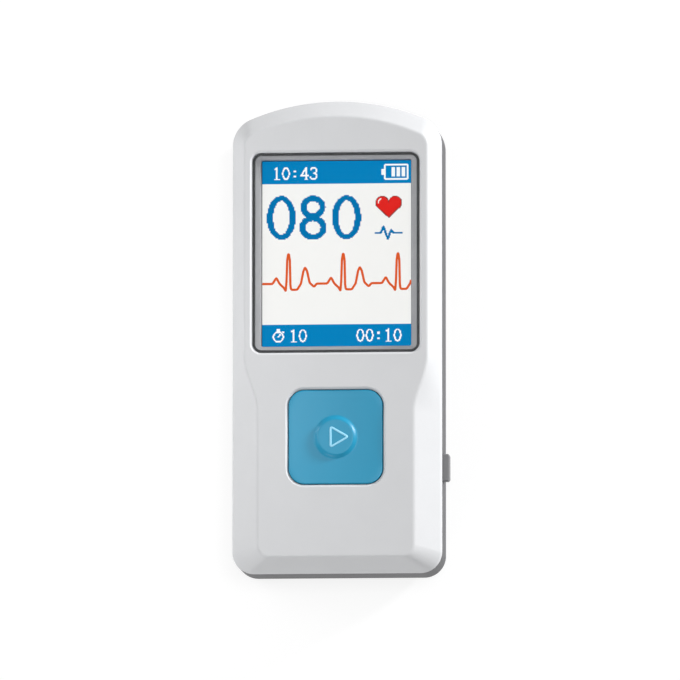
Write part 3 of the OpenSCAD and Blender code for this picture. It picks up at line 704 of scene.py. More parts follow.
class Recipe:
    """A Geometry Nodes tree with named inputs, and its use on an object."""

    def __init__(self, name: str, inputs: dict[str, str]) -> None:
        """Starts a tree.

        Args:
            name: The tree's name.
            inputs: The kind of socket for each named input, beside the geometry and the finish.
        """
        self.tree = bpy.data.node_groups.new(name, "GeometryNodeTree")
        face = self.tree.interface
        face.new_socket("Geometry", in_out="OUTPUT", socket_type="NodeSocketGeometry")
        wanted = {"Geometry": "Geometry", **inputs, "Finish": "Material"}
        self.keys = {label: face.new_socket(label, in_out="INPUT",
                                            socket_type="NodeSocket" + kind).identifier
                     for label, kind in wanted.items()}
        self.given = node(self.tree, "NodeGroupInput").outputs

    def add(self, kind: str, inputs: dict | None = None, **settings: object) -> Node:
        """Adds a node to this tree and returns it."""
        return node(self.tree, kind, inputs, **settings)

    def math(self, operation: str, *values: object) -> Socket:
        """Adds a sum and returns its result."""
        return self.add("ShaderNodeMath", dict(enumerate(values)), operation=operation).outputs[0]

    def close(self, geometry: Socket) -> None:
        """Ends the tree with real geometry in the named finish.

        Args:
            geometry: What the tree has made.
        """
        real = self.add("GeometryNodeRealizeInstances", {"Geometry": geometry})
        coated = self.add("GeometryNodeSetMaterial", {
            "Geometry": real.outputs[0], "Material": self.given["Finish"]})
        self.add("NodeGroupOutput", {"Geometry": coated.outputs[0]})

    def cook(self, piece: Piece, finish: Finish, **values: object) -> Piece:
        """Runs the tree on an object and keeps the result as a plain mesh.

        Args:
            piece: The object.
            finish: The result's finish.
            **values: The named inputs, with _ for a space.

        Returns:
            The object with its new mesh.
        """
        step = piece.modifiers.new(self.tree.name, "NODES")
        step.node_group = self.tree
        step[self.keys["Finish"]] = finish.material()
        for label, value in values.items():
            step[self.keys[label.replace("_", " ")]] = value
        return settle(piece)


class DishedFace(Recipe):
    """Sinks a face into a dish with a raised round centre, by their formula."""

    def __init__(self) -> None:
        """Builds the tree."""
        super().__init__("dished face", dict.fromkeys((
            "Centre Y", "Floor", "Reach", "Dish Depth", "Dome Radius", "Dome Flank",
            "Dome Height"), "Float"))
        g, calc = self.given, self.math
        place = self.add("GeometryNodeInputPosition").outputs[0]
        parts = self.add("ShaderNodeSeparateXYZ", {0: place}).outputs
        across, along = parts[0], calc("SUBTRACT", parts[1], g["Centre Y"])
        far = calc("SQRT", calc("ADD", calc("MULTIPLY", across, across),
                                calc("MULTIPLY", along, along)))
        share = calc("DIVIDE", far, g["Reach"])
        dish = calc("MULTIPLY", g["Dish Depth"],
                    calc("SUBTRACT", calc("MULTIPLY", share, share), 1.0))
        rise = self.add("ShaderNodeMapRange", {
            "Value": far, "From Min": g["Dome Radius"],
            "From Max": calc("ADD", g["Dome Radius"], g["Dome Flank"]),
            "To Min": 1.0, "To Max": 0.0}, interpolation_type="SMOOTHSTEP").outputs["Result"]
        lift = calc("ADD", dish, calc("MULTIPLY", rise, g["Dome Height"]))
        upper = calc("GREATER_THAN", parts[2], g["Floor"])
        shift = self.add("ShaderNodeCombineXYZ", {"Z": calc("MULTIPLY", lift, upper)})
        moved = self.add("GeometryNodeSetPosition", {
            "Geometry": g["Geometry"], "Offset": shift.outputs[0]})
        self.close(moved.outputs[0])


class DrawnLine(Recipe):
    """Lays a flat line of a set width and thickness along a curve."""

    def __init__(self) -> None:
        """Builds the tree."""
        super().__init__("drawn line", {"Width": "Float", "Thickness": "Float"})
        section = self.add("GeometryNodeCurvePrimitiveQuadrilateral", {
            "Width": self.given["Width"], "Height": self.given["Thickness"]})
        swept = self.add("GeometryNodeCurveToMesh", {
            "Curve": self.given["Geometry"], "Profile Curve": section.outputs[0],
            "Fill Caps": True})
        self.close(swept.outputs[0])

    def lay(self, name: str, points: Ring, closed: bool, finish: Finish, width: float,
            thickness: float) -> Piece:
        """Makes a drawn line, level and with its sides level.

        Args:
            name: The object's name.
            points: The path in millimetres.
            closed: Whether the path returns to its start.
            finish: The line's finish.
            width: Its width in millimetres.
            thickness: Its thickness in millimetres.

        Returns:
            The line.
        """
        curve = bpy.data.curves.new(name, "CURVE")
        curve.dimensions = "3D"
        curve.twist_mode = "Z_UP"
        spline = curve.splines.new("POLY")
        spline.points.add(len(points) - 1)
        for dot, place in zip(spline.points, points):
            dot.co = (*(v * MM for v in place), 1.0)
        spline.use_cyclic_u = closed
        return self.cook(link(bpy.data.objects.new(name, curve)), finish, Width=width * MM,
                         Thickness=thickness * MM)


class Repeats(Recipe):
    """Sets copies of a part on a plain grid about its own place."""

    def __init__(self) -> None:
        """Builds the tree."""
        super().__init__("repeats on a grid", {
            "Part": "Object", "Span X": "Float", "Span Y": "Float", "Count X": "Int",
            "Count Y": "Int", "Middle": "Vector"})
        g = self.given
        grid = self.add("GeometryNodeMeshGrid", {
            "Size X": g["Span X"], "Size Y": g["Span Y"], "Vertices X": g["Count X"],
            "Vertices Y": g["Count Y"]})
        placed = self.add("GeometryNodeTransform", {
            "Geometry": grid.outputs[0], "Translation": g["Middle"]})
        part = self.add("GeometryNodeObjectInfo", {"Object": g["Part"]})
        copies = self.add("GeometryNodeInstanceOnPoints", {
            "Points": placed.outputs[0], "Instance": part.outputs["Geometry"]})
        self.close(copies.outputs[0])

    def row(self, part: Piece, name: str, finish: Finish, span: Spot, count: tuple[int, int],
            middle: Point) -> Piece:
        """Makes the copies as one piece and removes the pattern part.

        Args:
            part: The part, at the origin.
            name: The new piece's name.
            finish: Its finish.
            span: The grid's size in millimetres.
            count: How many copies each way.
            middle: The grid's middle in millimetres.

        Returns:
            The piece.
        """
        holder = link(bpy.data.objects.new(name, bpy.data.meshes.new(name)))
        made = self.cook(holder, finish, Part=part, Span_X=span[0] * MM, Span_Y=span[1] * MM,
                         Count_X=count[0], Count_Y=count[1], Middle=tuple(v * MM for v in middle))
        bpy.data.objects.remove(part)
        return made


# --- the body's form


@dataclass(frozen=True)
class BodyForm:
    """Sizes of the moulded body, as its solids have them."""

    width: float = 44.6
    length: float = 100.8
    parting: float = 15.0
    height: float = 20.0
    wall: float = 1.6
    arch: float = 48.0
    top_corner: float = 6.2
    foot_corner: float = 4.6
    back_edge: float = 4.0
    bevel_side: float = 2.7
    neck_in: float = 2.9
    neck_start: float = 34.0
    neck_length: float = 12.0
    bevel_top: float = 3.6
    bevel_foot: float = 3.2
    field_top_corner: float = 3.0
    field_foot_corner: float = 2.6
    rim: float = 1.5
    rim_drop: float = 0.8
    rim_round: float = 0.5
    rim_tip_floor: float = 0.34
    rim_start_floor: float = 0.16
    field_round: float = 0.4
    seam: float = 0.12
    seam_break: float = 0.035
    corner_steps: int = 22
    arch_steps: int = 26
    side_steps: tuple[int, int, int] = (8, 34, 14)
    posts: tuple[Spot, ...] = ((14.0, -43.1), (14.0, 43.0))

    @property
    def top(self) -> float:
        """Y of the top end's apex."""
        return self.length / 2

    @property
    def foot(self) -> float:
        """Y of the bottom end."""
        return -self.length / 2

    def side_top(self, half: float, arch: float, corner: float) -> float:
        """Y where a straight side meets its upper corner."""
        return self.top - self.arch + math.sqrt((arch - corner) ** 2 - (half - corner) ** 2)

    def neck(self, low: float, high: float) -> Spot:
        """The neck's two ends, as shares of the way up a side from low to high."""
        start = self.foot + self.neck_start
        return (start - low) / (high - low), (start + self.neck_length - low) / (high - low)

    def places(self) -> list[float]:
        """Places along a side, from 0 at its foot to 1 at its top, closest together on the neck.

        Returns:
            The places, without the two ends.
        """
        low, high = (self.foot + self.bevel_foot + self.field_foot_corner,
                     self.side_top(self.width / 2 - self.bevel_side, self.arch - self.bevel_top,
                                   self.field_top_corner))
        marks = [0.0, *self.neck(low, high), 1.0]
        spots = [a + (b - a) * k / n for a, b, n in zip(marks, marks[1:], self.side_steps)
                 for k in range(n)]
        return spots[1:]

    def outline(self, half: float, foot_y: float, foot_corner: float, arch: float,
                top_corner: float, inset: float, neck: float = 0.0) -> Flat:
        """A closed outline with an arched top.

        Args:
            half: Half its width at the top.
            foot_y: Y where its foot corners end.
            foot_corner: Radius of its foot corners.
            arch: Radius of its arch.
            top_corner: Radius of its upper corners.
            inset: How far it is drawn in.
            neck: How much narrower each side is below the neck.

        Returns:
            The outline, counter-clockwise from the right end of its bottom edge.
        """
        low = half - neck
        side_top = self.side_top(half, arch, top_corner)
        start, end = self.neck(foot_y, side_top)
        sides = [(low - inset + neck * ease((t - start) / (end - start)),
                  foot_y + t * (side_top - foot_y)) for t in self.places()]
        cx, cy = half - top_corner, self.top - self.arch
        turn = math.degrees(math.atan2(side_top - cy, cx))
        right = (arc(low - foot_corner, foot_y, foot_corner - inset, -90, 0, self.corner_steps)
                 + sides + arc(cx, side_top, top_corner - inset, 0, turn, self.corner_steps)
                 + arc(0, cy, arch - inset, turn, 90, self.arch_steps)[1:])
        return right + [(-x, y) for x, y in reversed(right[:-1])]

    def body(self, inset: float) -> Flat:
        """The body's outline, drawn in by inset."""
        return self.outline(self.width / 2, self.foot + self.foot_corner, self.foot_corner,
                            self.arch, self.top_corner, inset)

    def body_rings(self, *steps: Spot) -> list[Ring]:
        """The body's outline, drawn in and at a height for each step."""
        return [level(self.body(inset), z) for inset, z in steps]

    def field(self, inset: float) -> Flat:
        """The raised field's outline, drawn in by inset."""
        return self.outline(self.width / 2 - self.bevel_side,
                            self.foot + self.bevel_foot + self.field_foot_corner,
                            self.field_foot_corner, self.arch - self.bevel_top,
                            self.field_top_corner, inset, self.neck_in)

    def drop(self, index: int, count: int) -> float:
        """How far the bevel's outer edge is lowered at a point of an outline.

        Args:
            index: The point.
            count: How many points the outline has.

        Returns:
            The drop, all of it along the bottom edge and none past the foot corners.
        """
        seam = min(index, count - 1 - index)
        return self.rim_drop * (1 - min(seam / self.corner_steps, 1.0))

    def rim_rings(self) -> list[Ring]:
        """Rings from the parting line over the rounded rim and the bevel to the field.

        Returns:
            The rings, from the lowest to the highest.
        """
        outer, inner, edge = self.body(0), self.body(self.rim_round), self.field(0)
        start, corner, end, low_edge = [], [], [], []
        for i, ((ox, oy), (ix, iy), (ex, ey)) in enumerate(zip(outer, inner, edge)):
            z = self.parting + self.rim - self.drop(i, len(outer))
            run = math.hypot(ex - ix, ey - iy)
            slope = (self.height - z) / run
            tip = max(z - slope * self.rim_round, self.parting + self.rim_tip_floor)
            start.append((ox, oy, max(tip - self.rim_round, self.parting + self.rim_start_floor)))
            corner.append((ox, oy, tip))
            end.append((ix, iy, z))
            t = self.field_round / math.hypot(run, self.height - z)
            low_edge.append((ex + (ix - ex) * t, ey + (iy - ey) * t,
                             self.height + (z - self.height) * t))
        seam = self.body_rings((self.seam, self.parting),
                               (self.seam_break, self.parting + self.seam_break),
                               (0, self.parting + self.seam))
        bevel = [blend_rings(end, low_edge, k / 4) for k in (1, 2, 3)]
        return (seam + fillet(start, corner, end, 6) + bevel
                + fillet(low_edge, level(edge, self.height),
                         level(self.field(self.field_round), self.height), 5)
                + [level(self.field(self.field_round + 0.08), self.height)])


FORM = BodyForm()
CASE_POSTS = mirrored(*FORM.posts)


@dataclass
class Window:
    """The screen's window and what fills it."""

    width: float = 35.7
    length: float = 42.8
    radius: float = 2.0
    centre_y: float = 17.7
    chamfer: float = 0.4
    lens_gap: float = 0.1
    lens_recess: float = 0.2
    lens: float = 0.8
    ledge: float = 0.9
    ledge_z: float = 18.2
    ledge_under: float = 17.4
    foot_z: float = 17.1
    picture_width: float = 31.7
    picture_length: float = 39.6
    picture_margin: float = 0.15
    bezel_fall: float = 0.5
    bezel_edge: float = 0.25
    lens_edge: float = 0.08
    # Place and size of the dark ring under the lens's edge, which is painted shade for the gap
    # round the lens.
    shade_ring_gap: float = 0.02
    shade_ring_width: float = 0.55
    shade_ring_low: float = 0.012
    shade_ring_high: float = 0.002

    @property
    def lens_z(self) -> float:
        """Height of the lens's underside."""
        return FORM.height - self.lens_recess - self.lens

    def ring(self, inset: float, z: float, radius: float | None = None) -> Ring:
        """The window's outline, drawn in by inset, at height z."""
        corner = max(self.radius - inset, 0.15) if radius is None else radius
        return rounded_box(self.width - 2 * inset, self.length - 2 * inset, corner, z,
                           (0.0, self.centre_y), corner=12)

    def build_lens(self) -> Piece:
        """The clear pane with its edges broken.

        Returns:
            The piece.
        """
        low, high, edge, gap = self.lens_z, self.lens_z + self.lens, self.lens_edge, self.lens_gap
        rings = [self.ring(inset, z) for inset, z in (
            (gap + edge, low), (gap, low + edge), (gap, high - edge), (gap + edge, high))]
        return smooth(Solid().loft(rings).piece("lens_pane"))

    def build_gap_shade(self) -> Piece:
        """A dark ring under the lens's edge: painted shade where the gap round the lens is dark.

        Returns:
            The piece.
        """
        outer, inner = self.lens_gap + self.shade_ring_gap, self.lens_gap + self.shade_ring_width
        low, high = self.lens_z - self.shade_ring_low, self.lens_z - self.shade_ring_high
        rings = [self.ring(inset, z)
                 for inset, z in ((inner, low), (outer, low), (outer, high), (inner, high))]
        return Solid().loft(rings, looped=True).piece("lens_edge_print")

    def build_bezel(self) -> Piece:
        """The grey frame that slopes from the lens down to the picture.

        Returns:
            The piece.
        """
        side = (self.width - self.picture_width) / 2 - self.picture_margin
        end = (self.length - self.picture_length) / 2 - self.picture_margin
        top, edge = self.lens_z - self.shade_ring_low - 0.001, self.bezel_edge
        low = top - self.bezel_fall
        wall = [rounded_box(self.width - 2 * side + 2 * grow, self.length - 2 * end + 2 * grow,
                            0.4 + grow, z, (0.0, self.centre_y), 12)
                for grow, z in ((0.0, self.foot_z), (0.0, low - edge), (0.04, low - edge + 0.08),
                                (edge, low - 0.02), (edge + 0.06, low))]
        rim = self.ring(self.lens_gap + self.shade_ring_gap, top)
        face = [blend_rings(wall[-1], rim, t) for t in (0.33, 0.66, 1.0)]
        leg = self.ledge + self.lens_gap
        back = [self.ring(self.lens_gap, self.ledge_z), self.ring(leg, self.ledge_z),
                self.ring(leg, self.foot_z)]
        rings = list(reversed(wall + face + back))
        return smooth(Solid().loft(rings, looped=True).piece("bezel_frame"))

    def build(self) -> None:
        """Makes and fits the screen's frame, the dark ring of painted gap shade under the lens's
        edge, and its pane.
        """
        fit_out(self.build_bezel(), BEZEL_GREY, HOUSING, "screen_bezel")
        # The dark ring is painted shade for the gap round the lens.
        fit_out(self.build_gap_shade(), LENS_GAP_SHADE, HOUSING)
        fit_out(self.build_lens(), LENS_CLEAR, HOUSING, "screen_lens")


@dataclass
class FrontCase:
    """The pale front shell: raised field, bevels, window, key opening and posts."""

    window: Window
    key_y: float
    key_open: float = 20.3
    key_radius: float = 3.55
    key_chamfer: float = 0.5
    cut_depth: float = 4.0
    ceiling: float = 18.4
    hollow_start: float = 0.8
    hollow_in: float = 1.9
    pilot_r: float = 0.8
    post_r: float = 2.2
    post_z: float = 8.05
    board_post_r: float = 1.7
    board_posts: tuple[Spot, ...] = ((14.9, -11.7), (7.6, 44.0))
    board_post_z: float = 14.3
    frame_out: float = 0.35
    frame_corners: Spot = (0.6, 1.0)
    root: float = 0.2

    def hollow(self) -> Solid:
        """The space inside, under the field.

        Returns:
            The cutter.
        """
        start = FORM.parting + self.hollow_start
        below, low = FORM.body_rings((FORM.wall, FORM.parting - 0.5), (FORM.wall, start))
        high = level(FORM.field(self.hollow_in), self.ceiling + 1)
        share = (self.ceiling - start) / (self.ceiling + 1 - start)
        return Solid().loft([below, low, blend_rings(low, high, share)])

    def bosses(self) -> Solid:
        """The screw posts, each with its pilot hole, and the frame under the window.

        Returns:
            The shells.
        """
        made, top, pilot = Solid(), self.ceiling + self.root, self.pilot_r
        for spots, radius, low in ((CASE_POSTS, self.post_r, self.post_z),
                                   (mirrored(*self.board_posts), self.board_post_r,
                                    self.board_post_z)):
            for spot in spots:
                made.loft(turned(((pilot, low), (radius, low), (radius, top), (pilot, top)),
                                 spot, 24), looped=True)
        w, out, (inner, outer) = self.window, -self.frame_out, self.frame_corners
        return made.loft([w.ring(*step) for step in (
            (w.ledge, w.ledge_under, inner), (out, w.ledge_under, outer), (out, top, outer),
            (0.0, top, outer), (0.0, w.ledge_z, outer), (w.ledge, w.ledge_z, inner))],
            looped=True)

    def build(self) -> None:
        """Makes and fits the shell."""
        shell = Solid().loft(FORM.rim_rings()).piece("front_case")
        carve(shell, self.hollow(), Carving.CUT)
        w, opening, openings = self.window, self.key_open, Solid()
        for size, y in (((w.width, w.length, w.radius, w.chamfer), w.centre_y),
                        ((opening, opening, self.key_radius, self.key_chamfer), self.key_y)):
            rings = mouth(*size, self.cut_depth)
            openings.loft(Facing.UP.place(rings, (0, y, FORM.height)))
        carve(shell, openings, Carving.CUT)
        fit_out(smooth(shell), SHELL_WHITE, HOUSING, "front_shell")
        fit_out(smooth(self.bosses().piece("front_case_posts")), SHELL_WHITE, HOUSING)


@dataclass
class Electrodes:
    """The three steel plates in the back, each on its stud."""

    lower: Spot = (12.5, 25.0)
    upper: Spot = (27.0, 11.0)
    lower_at: Spot = (10.25, -25.9)
    upper_y: float = 31.9
    radius: float = 2.0
    thick: float = 0.6
    edge: float = 0.1
    stud_r: float = 1.2
    stud_top: float = 7.6

    def sizes(self) -> list[tuple[float, float, Spot]]:
        """Width, length and middle of each plate."""
        x, y = self.lower_at
        return [(*self.lower, (-x, y)), (*self.lower, (x, y)), (*self.upper, (0.0, self.upper_y))]

    def build(self) -> None:
        """Makes and fits the plates."""
        steps = ((0.0, -self.thick), (0.0, -self.edge), (-0.03, -0.03), (-self.edge, 0.0))
        stud = ((self.stud_r, self.thick - 0.2), (self.stud_r, self.stud_top))
        for name, (width, length, (x, y)) in zip(("left", "right", "upper"), self.sizes()):
            plate = boxed(width, length, self.radius, steps)
            made = Solid().loft(Facing.BACK.place(plate, (x, y, 0)))
            made.loft(turned(stud, (x, y), 32))
            fit_out(smooth(made.piece(name + "_electrode_plate")), STEEL, HOUSING,
                    name + "_electrode")


@dataclass
class SideKey:
    """The small key on the right side."""

    centre_y: float = -27.7
    centre_z: float = 11.25
    length: float = 5.8
    height: float = 2.8
    out: float = 1.4
    chamfer: float = 0.35
    wall_x: float = 20.7
    wall_gap: float = 0.1
    lip: float = 0.9
    lip_t: float = 0.6
    lip_h: float = 3.4

    @property
    def origin(self) -> Point:
        """The key's middle on the body's side."""
        return FORM.width / 2, self.centre_y, self.centre_z

    def build(self) -> None:
        """Makes and fits the key's cap."""
        x, half = self.wall_x - self.wall_gap, self.length / 2 + self.lip
        edge = self.out - self.chamfer
        # How far the key is drawn in along and across, and how far it stands out of the side.
        steps = ((0.0, 0.0, x - self.lip_t - FORM.width / 2), (0.0, 0.0, edge),
                 (0.035, 0.01, edge + 0.09), (0.3, 0.06, self.out - 0.05),
                 (self.chamfer + 0.05, 0.12, self.out))
        rings = [rounded_box(self.length - 2 * a, self.height - 2 * b, 0.25 - b / 2, out, corner=5)
                 for a, b, out in steps]
        made = Solid().loft(Facing.RIGHT.place(rings, self.origin))
        made.block((x - self.lip_t, self.centre_y - half, self.centre_z - self.lip_h / 2),
                   (x, self.centre_y + half, self.centre_z + self.lip_h / 2))
        fit_out(smooth(made.piece("side_key_cap")), KEY_GREY, "side_button", "side_key")


@dataclass
class PlayKey:
    """The square blue key: a shallow dish with a raised centre and a printed triangle."""

    size: float = 20.0
    radius: float = 3.4
    centre_y: float = -21.7
    edge: float = 0.3
    lip: float = 0.9
    lip_z: float = 17.6
    lip_t: float = 0.7
    wall: float = 1.2
    roof_z: float = 18.2
    stem_r: float = 2.0
    stem_z: float = 16.9
    dish: float = 0.5
    dome_r: float = 3.6
    flank: float = 1.1
    dome: float = 0.6
    mark: tuple[Spot, ...] = ((-1.05, 2.15), (-1.05, -2.15), (2.65, 0.0))
    mark_round: float = 0.54
    mark_line: float = 0.42
    mark_thick: float = 0.05

    def ring(self, size: float, z: float, radius: float) -> Ring:
        """A rounded square about the key's middle, with points along its sides."""
        return rounded_box(size, size, radius, z, (0.0, self.centre_y), corner=16, side=16)

    def round_ring(self, radius: float, z: float) -> Ring:
        """A circle whose points lie in the same directions as the square's.

        Args:
            radius: The circle's radius.
            z: Its height.

        Returns:
            The ring.
        """
        made = []
        for x, y, _ in self.ring(self.size, z, self.radius):
            far = math.hypot(x, y - self.centre_y)
            made.append((x / far * radius, self.centre_y + (y - self.centre_y) / far * radius, z))
        return made

    def dished(self, piece: Piece, tree: DishedFace, finish: Finish) -> Piece:
        """Gives a flat face the dish and the raised centre."""
        sizes = {"Centre_Y": self.centre_y, "Floor": FORM.height - self.edge - 0.25,
                 "Reach": self.size / math.sqrt(2), "Dish_Depth": self.dish,
                 "Dome_Radius": self.dome_r, "Dome_Flank": self.flank, "Dome_Height": self.dome}
        return tree.cook(piece, finish, **{name: size * MM for name, size in sizes.items()})

    def build(self) -> None:
        """Makes and fits the key and its printed mark."""
        top, e, size, radius = FORM.height, self.edge, self.size, self.radius
        brow = fillet(self.ring(size, top - e, radius), self.ring(size, top, radius),
                      self.ring(size - 2 * e, top, radius - e), 5)
        foot = self.round_ring(self.dome_r + self.flank + 0.6, top)
        face = ([blend_rings(brow[-1], foot, k / 6) for k in range(1, 7)]
                + [self.round_ring(r, top) for r in (
                    [self.dome_r + self.flank * k / 12 for k in range(14, -2, -1)]
                    + [3.2, 2.4, 1.6, 0.8, 0.2])])
        lip_top = self.lip_z + self.lip_t
        skirt = [self.ring(size, z, radius) for z in (lip_top, top - e - 0.2)]
        lip = [self.ring(size + 2 * self.lip, z, radius) for z in (self.lip_z, lip_top)]
        inside = [self.ring(size - 2 * self.wall, z, radius - self.wall)
                  for z in (self.roof_z, self.lip_z)]
        stem = [self.round_ring(r, z) for r, z in (
            (0.2, self.stem_z), (self.stem_r, self.stem_z), (self.stem_r, self.roof_z))]
        key = Solid().loft(stem + inside + lip + skirt + brow + face).piece("play_key_cap")
        tree = DishedFace()
        cap = smooth(self.dished(key, tree, KEY_BLUE), KEY_CREASE)
        fit_out(cap, KEY_BLUE, "play_button", "play_key")
        flat = rounded_path(list(self.mark), self.mark_round, True)
        path = level([(x, self.centre_y + y) for x, y in flat], top + 0.005)
        mark = DrawnLine().lay("play_mark", path, True, KEY_PRINT, self.mark_line,
                               self.mark_thick)
        fit_out(self.dished(mark, tree, KEY_PRINT), KEY_PRINT, "play_button")


@dataclass
class Ports:
    """The USB socket in the left side and the lead socket in the top end."""

    usb_y: float = -27.7
    usb_z: float = 11.7
    usb_w: float = 7.6
    usb_h: float = 2.8
    usb_l: float = 6.2
    usb_sunk: float = 0.4
    skin: float = 0.4
    contact: Point = (3.2, 0.32, 0.06)
    contacts: int = 5
    contact_span: float = 2.8
    lead_z: float = 10.5
    lead_sunk: float = 0.3
    nose_r: float = 2.4
    nose: float = 12.2
    bore_r: float = 1.8
    bore: float = 11.0
    body: float = 5.2
    ring_depths: Spot = (2.5, 8.0)

    def build_usb(self, repeats: Repeats) -> None:
        """Makes and fits the socket's metal shell, its tongue and its contacts.

        Args:
            repeats: The tree that sets copies on a grid.
        """
        x, y, z = origin = (-FORM.width / 2 + self.usb_sunk, self.usb_y, self.usb_z)
        w, h, s, deep = self.usb_w, self.usb_h, self.skin, self.usb_l
        outline = [(0.0, -deep), (0.0, -0.08), (0.08, 0.0), (s - 0.1, 0.0), (s, -0.1),
                   (s, -deep + s)]
        rings = [rounded_box(w - 2 * a, h - 2 * a, 0.5 - a * 0.6, out) for a, out in outline]
        shell = Solid().loft(Facing.LEFT.place(rings, origin)).piece("usb_shell")
        fit_out(smooth(shell), NICKEL, HOUSING, "usb_socket")
        tongue = Solid().block((x + 1.0, y - w * 0.3, z - 0.2),
                               (x + deep - 0.3, y + w * 0.3, z + 0.5)).piece("usb_tongue")
        fit_out(smooth(tongue), SOCKET_BLACK, HOUSING)
        half = tuple(v / 2 for v in self.contact)
        pad = Solid().block(tuple(-v for v in half), half).piece("contact pattern")
        pads = repeats.row(pad, "usb_contacts", GOLD, (0.0, self.contact_span),
                           (1, self.contacts), (x + 3.0, y, z - 0.21))
        fit_out(pads, GOLD, HOUSING)

    def build_lead(self) -> None:
        """Makes and fits the lead socket and the contact rings in its bore."""
        face, half, r = FORM.top - self.lead_sunk, self.body / 2, self.bore_r
        origin, bottom = (0, face, self.lead_z), face - self.bore - 0.05
        outline = [(self.nose_r, -self.nose), (self.nose_r, -0.12), (self.nose_r - 0.12, 0.0),
                   (r + 0.15, 0.0), (r, -0.15), (r, -self.bore)]
        made = Solid().loft(Facing.TOP_END.place(turned(outline), origin))
        square = rounded_box(2 * half, 2 * half, 0.3, 0, corner=4)
        made.loft([[(p[0], y, self.lead_z + p[1]) for p in square]
                   for y in (FORM.top - FORM.wall - 0.1, bottom)])
        made.block((-half, face - self.nose, self.lead_z - half),
                   (half, bottom, self.lead_z + half))
        fit_out(smooth(made.piece("lead_socket_body")), SOCKET_BLACK, HOUSING, "lead_socket")
        rings, proud, sunk = Solid(), r - 0.08, r + 0.02
        for deep in self.ring_depths:
            outline = ((proud, -deep - 0.6), (sunk, -deep - 0.7), (sunk, -deep + 0.7),
                       (proud, -deep + 0.6))
            rings.loft(Facing.TOP_END.place(turned(outline), origin), looped=True)
        fit_out(smooth(rings.piece("lead_contact_rings")), NICKEL, HOUSING)


@dataclass
class RearCase:
    """The dark rear shell: rounded back edge, plate recesses, screw seats and side openings."""

    inner_edge: float = 1.2
    seat_r: float = 1.9
    seat: float = 3.6
    hole_r: float = 0.95
    boss_r: float = 2.7
    boss_top: float = 7.95
    stud_boss_r: float = 2.4
    stud_boss_top: float = 4.0
    stud_r: float = 1.3
    recess: float = 0.6
    plate_gap: float = 0.1
    nose_gap: float = 0.1
    side_gap: float = 0.3
    usb_gap: float = 0.2
    side_cut: float = 2.2
    chamfer: float = 0.12

    def cuts(self, plates: Electrodes, side: SideKey, ports: Ports) -> Solid:
        """Every opening and recess in the shell.

        Args:
            plates: The electrode plates, whose recesses are in the back.
            side: The side key.
            ports: The two sockets.

        Returns:
            The cutters, which don't overlap each other.
        """
        made, gap, edge, deep = Solid(), 2 * self.plate_gap, self.chamfer, self.side_cut
        hole = turned(((self.hole_r, -9.0), (self.hole_r, -self.seat), (self.seat_r, -self.seat),
                       (self.seat_r, -0.25), (self.seat_r + 0.2, -0.03),
                       (self.seat_r + 0.3, 0.05)))
        for x, y in CASE_POSTS:
            made.loft(Facing.BACK.place(hole, (x, y, 0)))
        stud = turned(((self.stud_r, -5.0), (self.stud_r, -self.recess + 0.05)), steps=24)
        for width, length, (x, y) in plates.sizes():
            recess = mouth(width + gap, length + gap, plates.radius + self.plate_gap, edge,
                           self.recess)
            for rings in (recess, stud):
                made.loft(Facing.BACK.place(rings, (x, y, 0)))
        nose = ports.nose_r + self.nose_gap
        for facing, origin, rings in (
                (Facing.RIGHT, side.origin,
                 mouth(side.length + self.side_gap, side.height + self.side_gap, 0.25, edge,
                       deep, 4)),
                (Facing.LEFT, (-FORM.width / 2, ports.usb_y, ports.usb_z),
                 mouth(ports.usb_w + self.usb_gap, ports.usb_h + self.usb_gap, 0.6, edge,
                       deep, 8)),
                (Facing.TOP_END, (0, FORM.top, ports.lead_z),
                 turned(((nose, -deep), (nose, -0.15), (nose + 0.15, 0.0), (nose + 0.2, 0.1))))):
            made.loft(facing.place(rings, origin))
        return made

    def build(self, plates: Electrodes, side: SideKey, ports: Ports) -> None:
        """Makes and fits the shell.

        Args:
            plates: The electrode plates.
            side: The side key.
            ports: The two sockets.
        """
        edge, wall, inner, top = FORM.back_edge, FORM.wall, self.inner_edge, FORM.parting
        rounding = [(edge * (1 - math.sin(a)), edge * (1 - math.cos(a)))
                    for a in (math.radians(turn) for turn in range(0, 91, 5))]
        shell = Solid().loft(FORM.body_rings(
            (edge + 0.1, 0.0), *rounding, (0, top - FORM.seam),
            (FORM.seam_break, top - FORM.seam_break), (FORM.seam, top))).piece("rear_case")
        hollow = FORM.body_rings((wall + inner, wall), (wall, wall + inner), (wall, top + 0.5))
        carve(shell, Solid().loft(hollow), Carving.CUT)
        bosses = Solid()
        for radius, high, spots in (
                (self.boss_r, self.boss_top, CASE_POSTS),
                (self.stud_boss_r, self.stud_boss_top, [spot for *_, spot in plates.sizes()])):
            for spot in spots:
                bosses.loft(turned(((radius, wall - 0.3), (radius, high)), spot, 32))
        carve(shell, bosses, Carving.JOIN)
        carve(shell, self.cuts(plates, side, ports), Carving.CUT)
        fit_out(smooth(shell), SHELL_GREY, HOUSING, "rear_shell")


